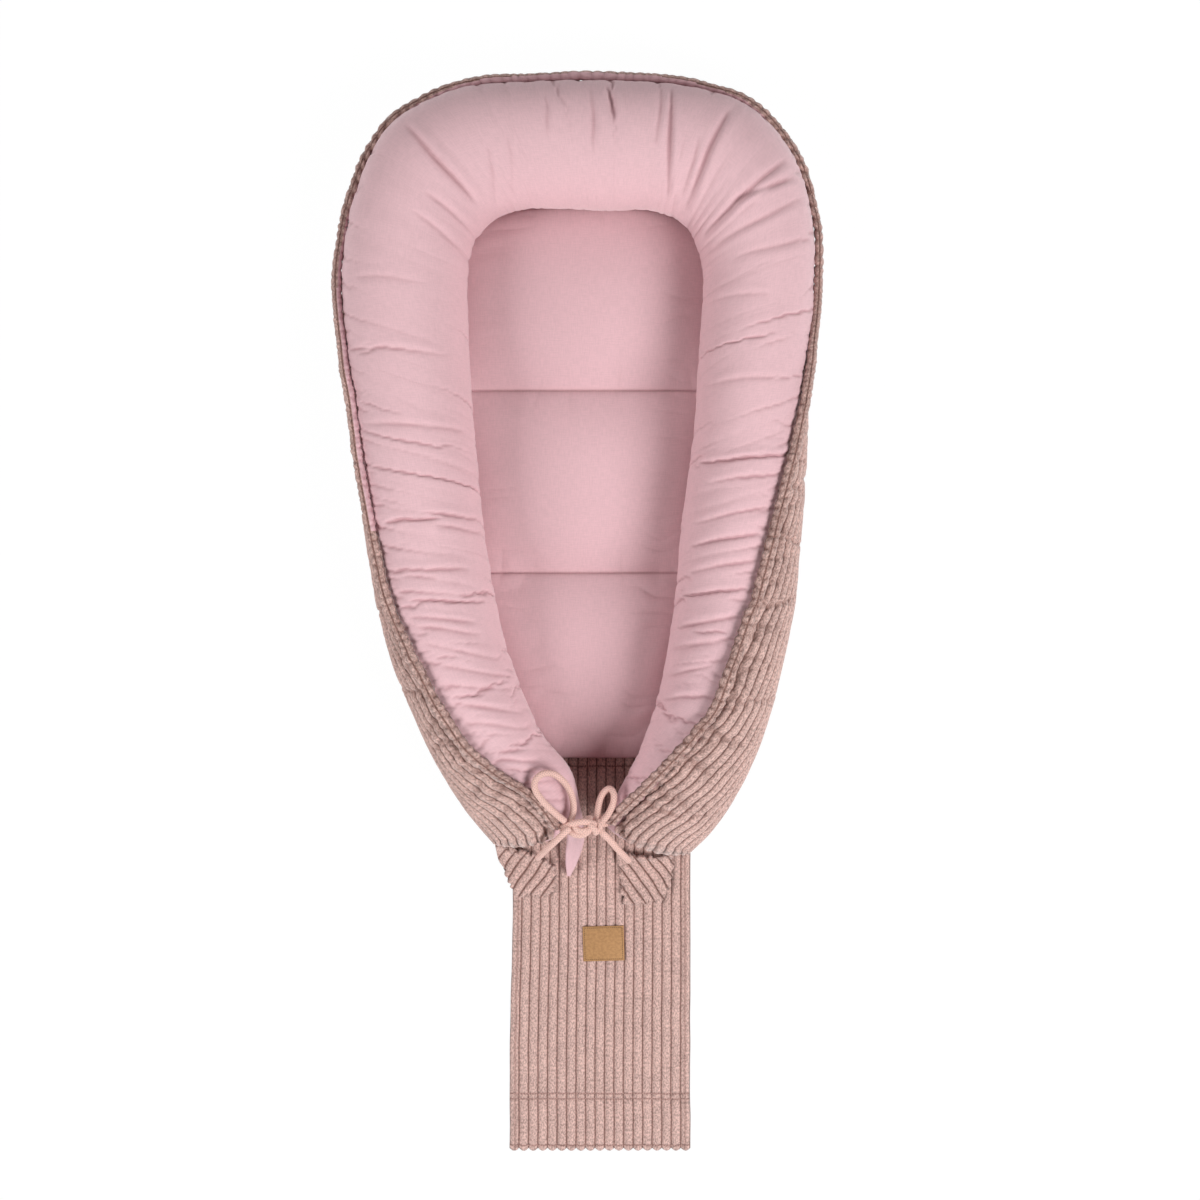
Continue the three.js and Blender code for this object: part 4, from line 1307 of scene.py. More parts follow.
OUTLINE_STEPS = 900
CHAMBERS = ("foot", "middle", "head")
CHAMBER_ENDS = (0.0, 0.336, 0.667, 1.0)
CHAMBER_SHARE = 0.33
MATTRESS_ROWS = 130
MATTRESS_COLUMNS = 130
BOTTOM_ROWS = 60
BOTTOM_COLUMNS = 30
MATTRESS_HOLLOW = 0.8 * MM
MATTRESS_SIDE_BULGE = 1.5 * MM
MATTRESS_END_BULGE = 0.2 * MM
QUILTED_SHADE_WIDTH = 1.3 * MM
PAD_ROWS = 24
PAD_COLUMNS = 36
PAD_INSET = 3.6 * MM

# The crumples beside the mattress's quilting, the quilting's dent, the pulls at the sides and the
# swells. Each size is across and along
CRUMPLE_SIZE = (19 * MM, 70 * MM)
CRUMPLE_DEPTH = 1.5 * MM
CRUMPLE_REACH = 16 * MM
QUILTING_DEPTH = 1.8 * MM
QUILTING_REACH = 2.5 * MM
PULL_SIZE = (90 * MM, 17 * MM)
PULL_JUMBLE = 30 * MM
PULL_DEPTH = 2.4 * MM
PULL_PLACE = 30 * MM
PULL_REACH = 25 * MM
SWELL_SIZE = (70 * MM, 90 * MM)
SWELL = 1.1 * MM
SWELL_RIM = 50 * MM


class Outline:
    """The left and right edges of a flat piece inside the bolster, by place along the nest."""

    def __init__(self, share, gap):
        sections = plain_sections(np.linspace(0, 1, OUTLINE_STEPS))
        edge = sections.centre + sections.outward * (share * sections.half_width - gap)[:, None]
        top = int(np.argmax(edge[:, 1]))
        self.tip = edge[top, 1] - CLEARANCE
        self.left = edge[: top + 1]
        self.right = edge[top:][::-1]

    def places(self, along, across):
        """Places across and along, at shares of the outline's length and of its width there."""
        y = MATTRESS_FOOT_Y + along * (self.tip - MATTRESS_FOOT_Y)
        left = np.interp(y, self.left[:, 1], self.left[:, 0])[:, None]
        right = np.interp(y, self.right[:, 1], self.right[:, 0])[:, None]
        return left + across * (right - left), y[:, None]


def mattress_outline():
    """The mattress's edges, tucked a little under the bolster."""
    return Outline(-1, -MATTRESS_TUCK)


def closer_at_tip(rows):
    """Shares along a flat piece, closer together towards its tip at the head."""
    return 1 - (1 - np.linspace(0, 1, rows)) ** 2


def mattress_rows(chambers, rows_each):
    """Shares along the mattress, and shares within their chamber."""
    inside = (1 - np.cos(np.linspace(0, HALF_TURN, rows_each))) / 2
    inside = 0.5 * inside + 0.5 * np.linspace(0, 1, rows_each)
    share, within = [], []
    for n in chambers:
        start, end = CHAMBER_ENDS[n], CHAMBER_ENDS[n + 1]
        kept = inside if n == chambers[-1] else inside[:-1]
        share.append(start + kept * (end - start))
        within.append(kept)
    return np.concatenate(share), np.concatenate(within)


def mattress_surface(chambers, rows_each, columns, inset=0.0):
    """The upper surface of the mattress's chambers, crowned between its quilting lines."""
    share, within = mattress_rows(chambers, rows_each)
    within = within[:, None]
    across = np.linspace(0, 1, columns)[None]
    x, y = mattress_outline().places(share, across)
    sideways = 1 - np.abs(2 * across - 1) ** 4
    lengthways = 1 - np.abs(2 * within - 1) ** 2.4
    crown = (0.42 + 0.58 * sideways) * (0.3 + 0.7 * lengthways)
    z = MATTRESS_SEAT + (MATTRESS_TOP - MATTRESS_SEAT) * crown
    to_line = np.minimum(within, 1 - within) * CHAMBER_SHARE * SLEEPING_LENGTH
    crumple = ridged(x / CRUMPLE_SIZE[0], y / CRUMPLE_SIZE[1], 41) - 0.5
    z = z + CRUMPLE_DEPTH * crumple * fading(to_line, CRUMPLE_REACH) * (to_line > 0)
    z = z - QUILTING_DEPTH * fading(to_line, QUILTING_REACH)
    to_side = np.minimum(across, 1 - across) * (x[:, -1:] - x[:, :1])
    jumble = 0.6 * noise(x / PULL_JUMBLE, y / PULL_JUMBLE, 45)
    pull = ridged(y / PULL_SIZE[1] + jumble, x / PULL_SIZE[0], 47) - 0.5
    at_foot = 0.4 + 0.6 * (share[:, None] < CHAMBER_ENDS[1])
    z = z + PULL_DEPTH * pull * near(to_side, PULL_PLACE, PULL_REACH) * at_foot
    swell = noise(x / SWELL_SIZE[0], y / SWELL_SIZE[1], 43)
    z = z + SWELL * swell * smooth_step(0, SWELL_RIM, to_line)
    grid = together(x, y, z)
    middle = grid[..., :2].mean(axis=(0, 1))
    size = np.ptp(grid[..., :2], axis=(0, 1))
    grid[..., :2] = middle + (grid[..., :2] - middle) * (size - 2 * inset) / size
    grid[..., 2] -= inset
    return grid


def with_sides(grid, axis, bulge):
    """A crowned sheet with its first and last line of points carried down to the mattress's seat."""
    lines = []
    for end, way in ((0, -1), (-1, 1)):
        line = np.moveaxis(grid, axis, 0)[end]
        low = line.copy()
        low[..., 2] = MATTRESS_SEAT
        half = (line + low) / 2
        half[..., 1 - axis] += way * bulge
        lines.append([np.expand_dims(part, axis) for part in (low, half)])
    return np.concatenate([*lines[0], grid, *lines[1][::-1]], axis=axis)


def mattress_top():
    """The mattress's quilted cover."""
    chambers = range(len(CHAMBERS))
    grid = mattress_surface(chambers, MATTRESS_ROWS, MATTRESS_COLUMNS)
    # Painted shade in the mattress's hollows and along its sunken quilting lines
    dark = 0.4 * hollows(grid, UP, 2, 2, MATTRESS_HOLLOW)
    _, within = mattress_rows(chambers, MATTRESS_ROWS)
    to_line = np.minimum(within, 1 - within) * SLEEPING_LENGTH / len(CHAMBERS)
    dark = np.maximum(dark, 0.9 * near(to_line, 0, QUILTED_SHADE_WIDTH)[:, None])
    grid = with_sides(with_sides(grid, 1, MATTRESS_SIDE_BULGE), 0, MATTRESS_END_BULGE)
    sheet_piece(
        "mattress_top", NEST, "cotton_cloth", ["mattress_top_cover"], grid, grid[..., :2],
        COTTON_THICKNESS, hollow=np.pad(dark, 2))


def mattress_bottom():
    """The mattress's plain underside."""
    x, y = mattress_outline().places(closer_at_tip(BOTTOM_ROWS), np.linspace(0, 1, BOTTOM_COLUMNS)[None])
    grid = together(x, y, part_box("mattress_bottom_cover")[1].z)
    sheet_piece(
        "mattress_bottom", NEST, "cotton_cloth", ["mattress_bottom_cover"], grid, grid[..., :2],
        COTTON_THICKNESS)


def mattress_pads():
    """The wadding in the mattress's three chambers."""
    for n, part in enumerate(CHAMBERS):
        grid = mattress_surface((n,), PAD_ROWS, PAD_COLUMNS, PAD_INSET)
        bottom = grid.copy()
        bottom[..., 2] = MATTRESS_SEAT
        box = np.concatenate([grid, bottom[:, ::-1]], axis=1)
        piece = grid_piece(
            "mattress_pad_" + part, NEST, "fibre_filling", ["mattress_wadding_" + part],
            box, box[..., :2], around=True, ends=True)


QUILTING_STEP = 3.4 * MM
QUILTING_STITCH = 2.4 * MM
QUILTING_RADIUS = 0.35 * MM
QUILTING_SAG = 0.3 * MM
QUILTING_LIFT = 0.2 * MM


def quilting():
    """The two rows of stitches across the mattress."""
    grid = mattress_surface(range(len(CHAMBERS)), MATTRESS_ROWS, MATTRESS_COLUMNS)
    for node in ("quilting_thread_lower", "quilting_thread_upper"):
        low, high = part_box(node)
        x = np.arange(low.x, high.x, QUILTING_STEP)
        y = np.full(len(x), (low.y + high.y) / 2)
        middles = np.column_stack([x, y, surface_height(grid, x, y) + QUILTING_LIFT])
        directions = np.repeat([[1.0, 0, 0]], len(x), axis=0)
        name = node.replace("thread", "stitches")
        mesh = stitches(name, middles, directions, QUILTING_STITCH, QUILTING_RADIUS, QUILTING_SAG)
        finished(name, mesh, NEST, "sewing_thread", [node])


BASE_ROWS = 90
RIBBED_BASE_COLUMNS = 260
PLAIN_BASE_COLUMNS = 40
LINING_SHARE = 0.53


def base_sheets(sizes):
    """The corduroy base, with its ribs down, and the cotton that lines it."""
    rib = sizes.wale_height
    for name, node, share, finish, groove, columns in (
        ("base_outside", "base_corduroy", TONGUE_SHARE, "corduroy_cloth", rib, RIBBED_BASE_COLUMNS),
        ("base_inside", "base_lining", LINING_SHARE, "cotton_cloth", 0, PLAIN_BASE_COLUMNS),
    ):
        across = np.linspace(0, 1, columns)[None]
        x, y = Outline(-share, -CLEARANCE).places(closer_at_tip(BASE_ROWS), across)
        low, high = (corner.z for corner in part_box(node))
        z = np.full(x.shape, low)
        if groove:
            wide = x[:, -1:] - x[:, :1]
            z = z + (groove - wale_relief(x, sizes)) * smooth_step(0, sizes.wale_pitch, wide)
        grid = together(x, y, z)
        sheet_piece(
            name, NEST, finish, [node], grid, grid[..., :2],
            high - low - groove, facing=-UP)


# Flap

FLAP_LOW, FLAP_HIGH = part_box("flap_corduroy")
NECK_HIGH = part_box("flap_neck_corduroy")[1]
FOLD_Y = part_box("flap_neck_corduroy")[0].y - CLEARANCE
WALES_ON_FLAP = 19
POINTS_PER_WALE = 8
STITCH_ROWS = ("flap_hem_stitching_upper", "flap_hem_stitching_lower", "flap_end_stitching")
EDGE_STITCHES = ("flap_edge_stitching_left", "flap_edge_stitching_right")
NECK_BAND_PX = 766
TAPER_START_PX = 905
TAPER_END_PX = 1060
TAPER = 3.2 * MM
LEFT_RIPPLE = 0.5 * MM
LEFT_RIPPLE_LENGTH = 30 * MM
RIGHT_RIPPLE = 0.4 * MM
RIGHT_RIPPLE_LENGTH = 28 * MM
SCALLOP = 3 * MM

# The flap's rows of points, and how far its stitched and pressed lines sink and how wide their painted shade
# is
FLAP_ROW_STEP = 2.2 * MM
NEAR_STITCHES = np.arange(-3, 3.1, 0.5) * MM
PRESSED_DEPTH = 0.9 * MM
PRESSED_REACH = 1.6 * MM
PRESSED_SHADE = 0.9 * MM
PRESSED_WANDER = 0.4 * MM
PRESSED_WANDER_LENGTH = 20 * MM
EDGE_SEAM_INSET = 6 * MM
EDGE_SEAM_DEPTH = 0.6 * MM
EDGE_SEAM_REACH = 1.3 * MM
EDGE_SEAM_SHADE = 1.1 * MM
ROLLED_DEPTH = 1.3 * MM
PILE_SPOTS = 0.25 * MM
PILE_SPOT_LENGTH = 6 * MM
WAVE_HEIGHT = 1.1 * MM
WAVE_SIZE = (80 * MM, 60 * MM)
RUMPLE_HEIGHT = 0.5 * MM
RUMPLE_SIZE = (20 * MM, 50 * MM)
FLAT_BESIDE_FOLD = 20 * MM
FLAP_LEAST = 0.5 * MM
FLAP_WALL = 0.5 * MM
LINING_ROWS = 150
LINING_COLUMNS = 40
LINING_INSET = 0.6 * MM
LINING_LOW = 0.05 * MM
LINING_GAP = 0.2 * MM
HEM_ROWS = 40
HEM_GROOVE = 0.8 * MM
HEM_WALL = 0.45 * MM


def flap_edges(y):
    """The flap's left and right edges at places along it."""
    start, end = (photo_place(PHOTO_MIDDLE_PX, px, 0)[1] for px in (TAPER_START_PX, TAPER_END_PX))
    left = FLAP_LOW.x + TAPER * smooth_step(end, start, y)
    left = left + LEFT_RIPPLE * noise(y / LEFT_RIPPLE_LENGTH, 0, 51)
    return left, FLAP_HIGH.x + RIGHT_RIPPLE * noise(y / RIGHT_RIPPLE_LENGTH, 0, 53)


def across_flap(y, shares, inset=0.0):
    """Places across the flap at shares of its width, for each place along it."""
    left, right = flap_edges(y)
    left, right = (left + inset)[:, None], (right - inset)[:, None]
    return left + shares * (right - left)


def flap_ribs(y):
    """Places across the flap, its ribs counted across it, and how far each place is from a rib's middle."""
    shares = np.linspace(0, 1, WALES_ON_FLAP * POINTS_PER_WALE + 1)
    ribs = shares * WALES_ON_FLAP
    return across_flap(y, shares), ribs, rib_side(ribs)


def scalloped(y, side):
    """Places along the flap, drawn in between the ribs at its end."""
    return y[:, None] + SCALLOP * side[None] ** 2 * fading(y - y[0], 2 * SCALLOP)[:, None]


def flap_places(sizes):
    """The flap's upper surface as a grid of points, its map and the painted shade of its hollows."""
    lines = [(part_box(node)[0].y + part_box(node)[1].y) / 2 for node in STITCH_ROWS]
    lines.append(photo_place(PHOTO_MIDDLE_PX, NECK_BAND_PX, FLAP_TOP)[1])
    y = np.arange(FLAP_LOW.y, NECK_HIGH.y, FLAP_ROW_STEP)
    y = np.unique(np.concatenate([y, [NECK_HIGH.y], *(at + NEAR_STITCHES for at in lines)]))
    x, ribs, side = flap_ribs(y)
    rows = y[:, None]
    high = sizes.wale_height * (1 - side**RIB_ROUND)[None]
    spots = PILE_SPOTS * noise(ribs[None] * 1.7, rows / PILE_SPOT_LENGTH, 55)
    pressed = np.zeros(x.shape)
    dark = np.zeros(x.shape)
    for at in lines:
        wander = PRESSED_WANDER * noise(x / PRESSED_WANDER_LENGTH, at, 58)
        pressed += PRESSED_DEPTH * near(rows, at, PRESSED_REACH)
        # Painted shade along each pressed line
        dark = np.maximum(dark, near(rows - at - wander, 0, PRESSED_SHADE))
    edge = np.minimum(x - x[:, :1], x[:, -1:] - x)
    pressed += EDGE_SEAM_DEPTH * near(edge, EDGE_SEAM_INSET, EDGE_SEAM_REACH)
    # Painted shade along the stitched line inside each edge
    dark = np.maximum(0.75 * dark, 0.6 * near(edge, EDGE_SEAM_INSET, EDGE_SEAM_SHADE))
    rolled = ROLLED_DEPTH * (fading(edge, PRESSED_REACH) + fading(rows - y[0], PRESSED_REACH))
    waves = WAVE_HEIGHT * (0.6 + noise(x / WAVE_SIZE[0], rows / WAVE_SIZE[1], 57))
    waves = waves + RUMPLE_HEIGHT * noise(x / RUMPLE_SIZE[0], rows / RUMPLE_SIZE[1], 59)
    waves *= smooth_step(FOLD_Y + FLAT_BESIDE_FOLD, FOLD_Y - FLAT_BESIDE_FOLD, rows)
    z = FLAP_HIGH.z - sizes.wale_height + high + spots - pressed - rolled + np.maximum(waves, 0)
    z = np.maximum(z, FLAP_LOW.z + FLAP_LEAST)
    return together(x, scalloped(y, side), z), together(ribs[None] * sizes.wale_pitch, rows), dark


def bend_with_flap(piece):
    """Bakes the place of a piece that crosses the fold into its mesh."""
    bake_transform(piece)


def flap_cloth(sizes):
    """The flap's corduroy, from under the mattress to the hem."""
    grid, uv, dark = flap_places(sizes)
    bend_with_flap(sheet_piece(
        "flap_cloth", None, "corduroy_flat", ["flap_corduroy", "flap_neck_corduroy"], grid, uv,
        FLAP_WALL, hollow=dark))


def flap_back():
    """The flap's cotton lining."""
    low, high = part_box("flap_lining")
    y = np.linspace(low.y + SCALLOP, NECK_HIGH.y, LINING_ROWS)
    x = across_flap(y, np.linspace(0, 1, LINING_COLUMNS), LINING_INSET)
    grid = together(x, y[:, None], LINING_LOW)
    bend_with_flap(sheet_piece(
        "flap_back", None, "cotton_cloth", ["flap_lining", "flap_neck_lining"], grid, grid[..., :2],
        high.z - LINING_GAP, facing=-UP))


def flap_hem(sizes):
    """The corduroy turned under at the flap's end."""
    low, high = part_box("flap_hem")
    y = np.linspace(low.y + MM, high.y, HEM_ROWS)
    x, ribs, side = flap_ribs(y)
    grid = together(x, scalloped(y, side), HEM_GROOVE * side**RIB_ROUND)
    uv = together(ribs[None] * sizes.wale_pitch, y[:, None])
    sheet_piece(
        "flap_turned_hem", FLAP, "corduroy_flat", ["flap_hem"], grid, uv,
        HEM_WALL, facing=-UP)


# Stitches and the label

# Each stitch's rings: place along its half length, and share of its radius
STITCH_RINGS = ((-1, 0.05), (-0.8, 0.75), (0, 1), (0.8, 0.75), (1, 0.05))
STITCH_SIDES = 6
STITCH_RADIUS = 0.45 * MM
STITCH_SHARE = 0.78
STITCH_SAG = 0.35 * MM
STITCH_LIFT = 0.15 * MM
STITCH_WANDER = 0.25 * MM
STITCH_WANDER_LENGTH = 10 * MM
FIRST_STITCH = 5 * MM
LAST_STITCH = 4 * MM
STEEPEST_STITCH = 0.6
LABEL_WIDTH = 46 * MM
LABEL_LENGTH = 39 * MM
LABEL_TILT = math.radians(1.5)
LABEL_CORNER = 0.5 * MM
LABEL_STITCH_INSET = 2.0 * MM
LABEL_STITCH_STEP = 2.3 * MM
LABEL_STITCH_SHARE = 0.75
LABEL_STITCH_SAG = 0.25 * MM
LABEL_STITCH_LIFT = 0.1 * MM


def stitches(name, middles, directions, length, radius, sag):
    """Short rounded stitches at places, each along its own direction."""
    points, faces = [], []
    for middle, direction in zip(middles, directions):
        direction = direction / np.linalg.norm(direction)
        side = np.cross(UP, direction)
        first = len(points)
        for place, width in STITCH_RINGS:
            centre = middle + direction * place * length / 2 - UP * sag * place**2
            for angle in round_turns(STITCH_SIDES):
                points.append(centre + radius * width * (side * math.cos(angle) + UP * math.sin(angle)))
        last = first + (len(STITCH_RINGS) - 1) * STITCH_SIDES
        for ring in range(first, last, STITCH_SIDES):
            for k in range(STITCH_SIDES):
                a, b = ring + k, ring + (k + 1) % STITCH_SIDES
                faces.append((a, b, b + STITCH_SIDES, a + STITCH_SIDES))
        faces.append(tuple(range(first + STITCH_SIDES - 1, first - 1, -1)))
        faces.append(tuple(range(last, last + STITCH_SIDES)))
    mesh = bpy.data.meshes.new(name)
    mesh.from_pydata([tuple(p) for p in points], [], faces)
    layer = mesh.uv_layers.new(name="cloth")
    corners = np.zeros(len(mesh.loops), int)
    mesh.loops.foreach_get("vertex_index", corners)
    places = np.array(points)[corners]
    layer.data.foreach_set("uv", places[:, :2].astype(np.float32).ravel())
    return mesh


def flap_stitches(sizes):
    """Rows of stitches over the hem, at the end and along both edges of the flap."""
    grid, _, _ = flap_places(sizes)
    step = sizes.stitch_length
    for node in STITCH_ROWS + EDGE_STITCHES:
        low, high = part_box(node)
        if node in EDGE_STITCHES:
            y = np.arange(low.y, high.y, step)
            left, right = flap_edges(y)
            middle = (low.x + high.x) / 2
            x = left + (middle - FLAP_LOW.x) if node.endswith("left") else right - (FLAP_HIGH.x - middle)
            directions = np.repeat([[0, 1.0, 0]], len(x), axis=0)
        else:
            y = (low.y + high.y) / 2
            left, right = flap_edges(np.array([y]))
            x = np.arange(left[0] + FIRST_STITCH, right[0] - LAST_STITCH, step)
            y = y + STITCH_WANDER * noise(x / STITCH_WANDER_LENGTH, 0, 61)
            rise = surface_height(grid, x + step / 3, y) - surface_height(grid, x - step / 3, y)
            tilt = np.clip(rise / (step / 1.5), -STEEPEST_STITCH, STEEPEST_STITCH)
            directions = np.column_stack([np.ones(len(x)), np.zeros(len(x)), tilt])
        middles = np.column_stack([x, y, surface_height(grid, x, y) + STITCH_LIFT])
        name = node.replace("stitching", "stitches")
        mesh = stitches(name, middles, directions, STITCH_SHARE * step, STITCH_RADIUS, STITCH_SAG)
        finished(name, mesh, FLAP, "sewing_thread", [node])


def label():
    """The bare gold label and its border of stitches."""
    low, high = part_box("label_patch")
    middle = (low + high) / 2
    size = Vector((LABEL_WIDTH, LABEL_LENGTH, high.z - low.z))
    bpy.ops.mesh.primitive_cube_add(size=1)
    patch = bpy.context.object
    patch.name = patch.data.name = "label"
    patch.data.transform(patch.matrix_world)
    for vertex in patch.data.vertices:
        vertex.co = Vector(a * b for a, b in zip(vertex.co, size))
    bevel = patch.modifiers.new("Corners", "BEVEL")
    bevel.width = LABEL_CORNER
    bevel.segments = 3
    apply_modifiers(patch)
    cosine, sine = math.cos(LABEL_TILT), math.sin(LABEL_TILT)
    turn = np.array([[cosine, -sine], [sine, cosine]])
    for vertex in patch.data.vertices:
        x, y = turn @ np.array(vertex.co[:2])
        vertex.co = Vector((x + middle.x, y + middle.y, vertex.co.z + middle.z))
    patch.data.uv_layers[0].name = "cloth"
    dressed(patch, FLAP, "label_face", ["label_patch"])
    half = np.array([size.x / 2 - LABEL_STITCH_INSET, size.y / 2 - LABEL_STITCH_INSET])
    corners = np.array([(-1, -1), (1, -1), (1, 1), (-1, 1), (-1, -1)]) * half
    middles, directions = [], []
    for start, end in zip(corners[:-1], corners[1:]):
        length = np.linalg.norm(end - start)
        count = int(round(length / LABEL_STITCH_STEP))
        for k in range(count):
            spot = turn @ (start + (end - start) * (k + 0.5) / count)
            middles.append(np.array([spot[0] + middle.x, spot[1] + middle.y, high.z + LABEL_STITCH_LIFT]))
            directions.append(np.append(turn @ ((end - start) / length), 0))
    length = LABEL_STITCH_SHARE * LABEL_STITCH_STEP
    mesh = stitches("label_stitches", middles, directions, length, STITCH_RADIUS, LABEL_STITCH_SAG)
    finished("label_stitches", mesh, FLAP, "label_sewing", ["label_stitching"])


# Casing, drawstring and bow

CORD_STEP = 1.0 * MM
CORD_SIDES = 24
CORD_RELIEF = 0.14 * MM
CORD_END = 0.72
KNOT_END = 0.6
HIDDEN_CORD_SIDES = 12
HIDDEN_CORD_SPACING = 3 * MM
HIDDEN_CORD_LESS = 0.5 * MM
OFF_EVERY_CORD = (0.3, 0.2, 1.0)


def tube(line, radius, sides, wobble=None):
    """Rings round a line of points, and a map of turns round it and metres along it."""
    tangent = unit(np.gradient(line, axis=0))
    normal = np.cross(tangent[0], OFF_EVERY_CORD)
    normals = []
    for direction in tangent:
        normal = unit(normal - direction * (normal @ direction))
        normals.append(normal)
    normals = np.array(normals)
    binormals = np.cross(tangent, normals)
    turn = round_turns(sides)
    outward = normals[:, None] * np.cos(turn)[:, None] + binormals[:, None] * np.sin(turn)[:, None]
    along = travelled(line)[:, None]
    wide = np.full((len(line), sides), radius)
    if wobble is not None:
        wide = wide + wobble(along, turn[None])
    grid = line[:, None] + outward * wide[..., None]
    return grid, together(np.linspace(0, 1, sides + 1)[None], along)


def braid(along, turn):
    """The relief of a braided cord."""
    one = np.sin(CORD_STRANDS * turn + WHOLE_TURN * CORD_LAY * along)
    two = np.sin(CORD_STRANDS * turn - WHOLE_TURN * CORD_LAY * along)
    return CORD_RELIEF * np.maximum(one, two)


def cord_along(route_mm, diameter, end_scale):
    """A braided cord along a route, with ends drawn in to a scale: its points, map and middle line."""
    line = evenly(np.array(route_mm) * MM, CORD_STEP)
    grid, uv = tube(line, diameter / 2, CORD_SIDES, braid)
    for end in (0, -1):
        grid[end] = line[end] + (grid[end] - line[end]) * end_scale
    return grid, uv, line


def seam_line(shares):
    """The casing's line over the seam, the seam's normals and the sections."""
    sections = plain_sections(shares)
    spot, normal = sections.points(sections.seam[:, None], -(CASING_RADIUS + CLEARANCE))
    return spot[:, 0], normal[:, 0], sections


CASING_SINK = 3.2 * MM
CASING_SPACING = 1.4 * MM
CASING_SIDES = 26
CASING_WALL = 0.8 * MM
CASING_WANDER = 0.9 * MM
CASING_WANDER_LENGTH = 30 * MM
CASING_BEAT_WANDER = 25 * MM
CASING_BEAT_JITTER = 12 * MM
CASING_FLUFF = 3.4 * MM
CASING_MAP_START = 2.4 * MM
CASING_SWELL = 1.3 * MM
CASING_START = 0.3 * MM

# The casing's gathers: their spacing, depth and shade, and what the arms' ends, the two corners and
# the head add to each
GATHER_SPACING_MM = (6.5, 4.5, 8.5, 5.0)
GATHER_DEPTH_MM = (1.0, 1.3, 2.8, 0.8)
GATHER_SHADE = (0.6, 0.35, 0.4, 0.2)
CORNER_SHARES = (0.385, 0.612)
CORNER_REACHES = (0.05, 0.055)
HEAD_SHARE = 0.49
HEAD_REACH = 0.05

# Which of the casing's faces are pink: those between two shares of the bolster, from a turn, in half
# turns, that some places on the bolster change
PINK_START = 0.2
PINK_END = 0.62
PINK_EDGE = 0.5
PINK_EDGE_SHARES = ((0.385, 0.045, 0.3), (0.49, 0.05, -0.2), (0.62, 0.05, 0.45))
PINK_LAST_TURN = 1.35


def casing_sink(sections):
    """How far the casing sinks into the covers, less on the arms."""
    return CASING_SINK * (1 - 0.6 * smooth_step(0.1, 0.3, sections.seam / HALF_TURN))[:, None]


def pink_faces(shares, turn):
    """Which of the casing's faces are cotton, by share along the bolster and half turns round it."""
    edge = PINK_EDGE
    for place, reach, more in PINK_EDGE_SHARES:
        edge = edge + more * near(shares, place, reach)
    return (turn > edge) & (turn < PINK_LAST_TURN) & (shares > PINK_START) & (shares < PINK_END)


def casing():
    """The gathered channel for the drawstring, along the seam between cotton and corduroy."""
    shares = paced_shares(CASING_SPACING, CASING_SPACING)
    line, normal, sections = seam_line(shares)
    turn = round_turns(CASING_SIDES)
    along = travelled(line)[:, None]
    seam = sections.seam / HALF_TURN
    ends = smooth_step(0.1, 0.4, seam)[:, None]
    corners = sum(near(shares, *corner) for corner in zip(CORNER_SHARES, CORNER_REACHES))[:, None]
    head = near(shares, HEAD_SHARE, HEAD_REACH)[:, None]

    def by_place(values):
        return sum(value * weight for value, weight in zip(values, (1, ends, corners, head)))

    steps = np.diff(along[:, 0], prepend=0)
    beat = np.cumsum(steps / (by_place(GATHER_SPACING_MM) * MM)[:, 0])[:, None]
    beat = beat + 0.4 * noise(along / CASING_BEAT_WANDER, 0, 70) + corners * 0.9 * turn[None] / HALF_TURN
    beat = beat + (1 - corners) * 0.25 * noise(along / CASING_BEAT_JITTER, turn[None] * 0.8, 72)
    puff = np.abs(np.sin(HALF_TURN * beat)) ** (0.55 + 0.6 * corners)
    size = 0.75 + 0.25 * noise(np.floor(beat) + 0.5, 0, 71)
    small = noise(along / CASING_FLUFF, turn[None] * 2.2, 73)
    fluff = 0.35 + 0.75 * smooth_step(0.05, 0.2, seam)[:, None]
    radius = CASING_RADIUS + CASING_START + CASING_SWELL * ends
    radius = radius + by_place(GATHER_DEPTH_MM) * MM * (puff * size - 0.75) + fluff * MM * small
    wander = CASING_WANDER * noise(along / CASING_WANDER_LENGTH, 0, 75)
    line = line - normal * casing_sink(sections) + sections.outward * wander
    outward = sections.outward[:, None] * np.cos(turn)[:, None] + UP * np.sin(turn)[:, None]
    grid = line[:, None] + radius[..., None] * outward
    around = np.linspace(0, WHOLE_TURN, CASING_SIDES + 1) * CASING_RADIUS
    uv = together(around[None] + CASING_MAP_START, along)
    # Painted shade in the dips between gathers, on the side that faces the cotton and in the fluff's dips
    dark = np.clip((1 - puff * size) * by_place(GATHER_SHADE), 0, 1) ** 1.5
    facing_cotton = near(turn, 0.93 * HALF_TURN, 0.1 * HALF_TURN)[None]
    dark = np.clip(dark + 0.9 * facing_cotton + 0.5 * np.clip(-small, 0, 1) * fluff, 0, 1)
    piece = grid_piece(
        "casing", NEST, "corduroy_cloth", ["drawstring_casing"],
        grid, uv, around=True, facing=outward, hollow=dark)
    piece.data.materials.append(material_of("cotton_cloth"))
    face = np.arange((len(line) - 1) * CASING_SIDES)
    pink = pink_faces(shares[face // CASING_SIDES], turn[face % CASING_SIDES] / HALF_TURN)
    piece.data.polygons.foreach_set("material_index", pink.astype(np.int32))
    shell(piece, CASING_WALL)


def drawstring(sizes):
    """The stretch of the drawstring that runs inside its casing."""
    line, normal, sections = seam_line(paced_shares(HIDDEN_CORD_SPACING, HIDDEN_CORD_SPACING))
    line = line - normal * casing_sink(sections)
    grid, uv = tube(line, sizes.cord_diameter / 2 - HIDDEN_CORD_LESS, HIDDEN_CORD_SIDES)
    grid_piece("drawstring_in_casing", NEST, "braided_cord", ["drawstring"], grid, uv, around=True, ends=True)


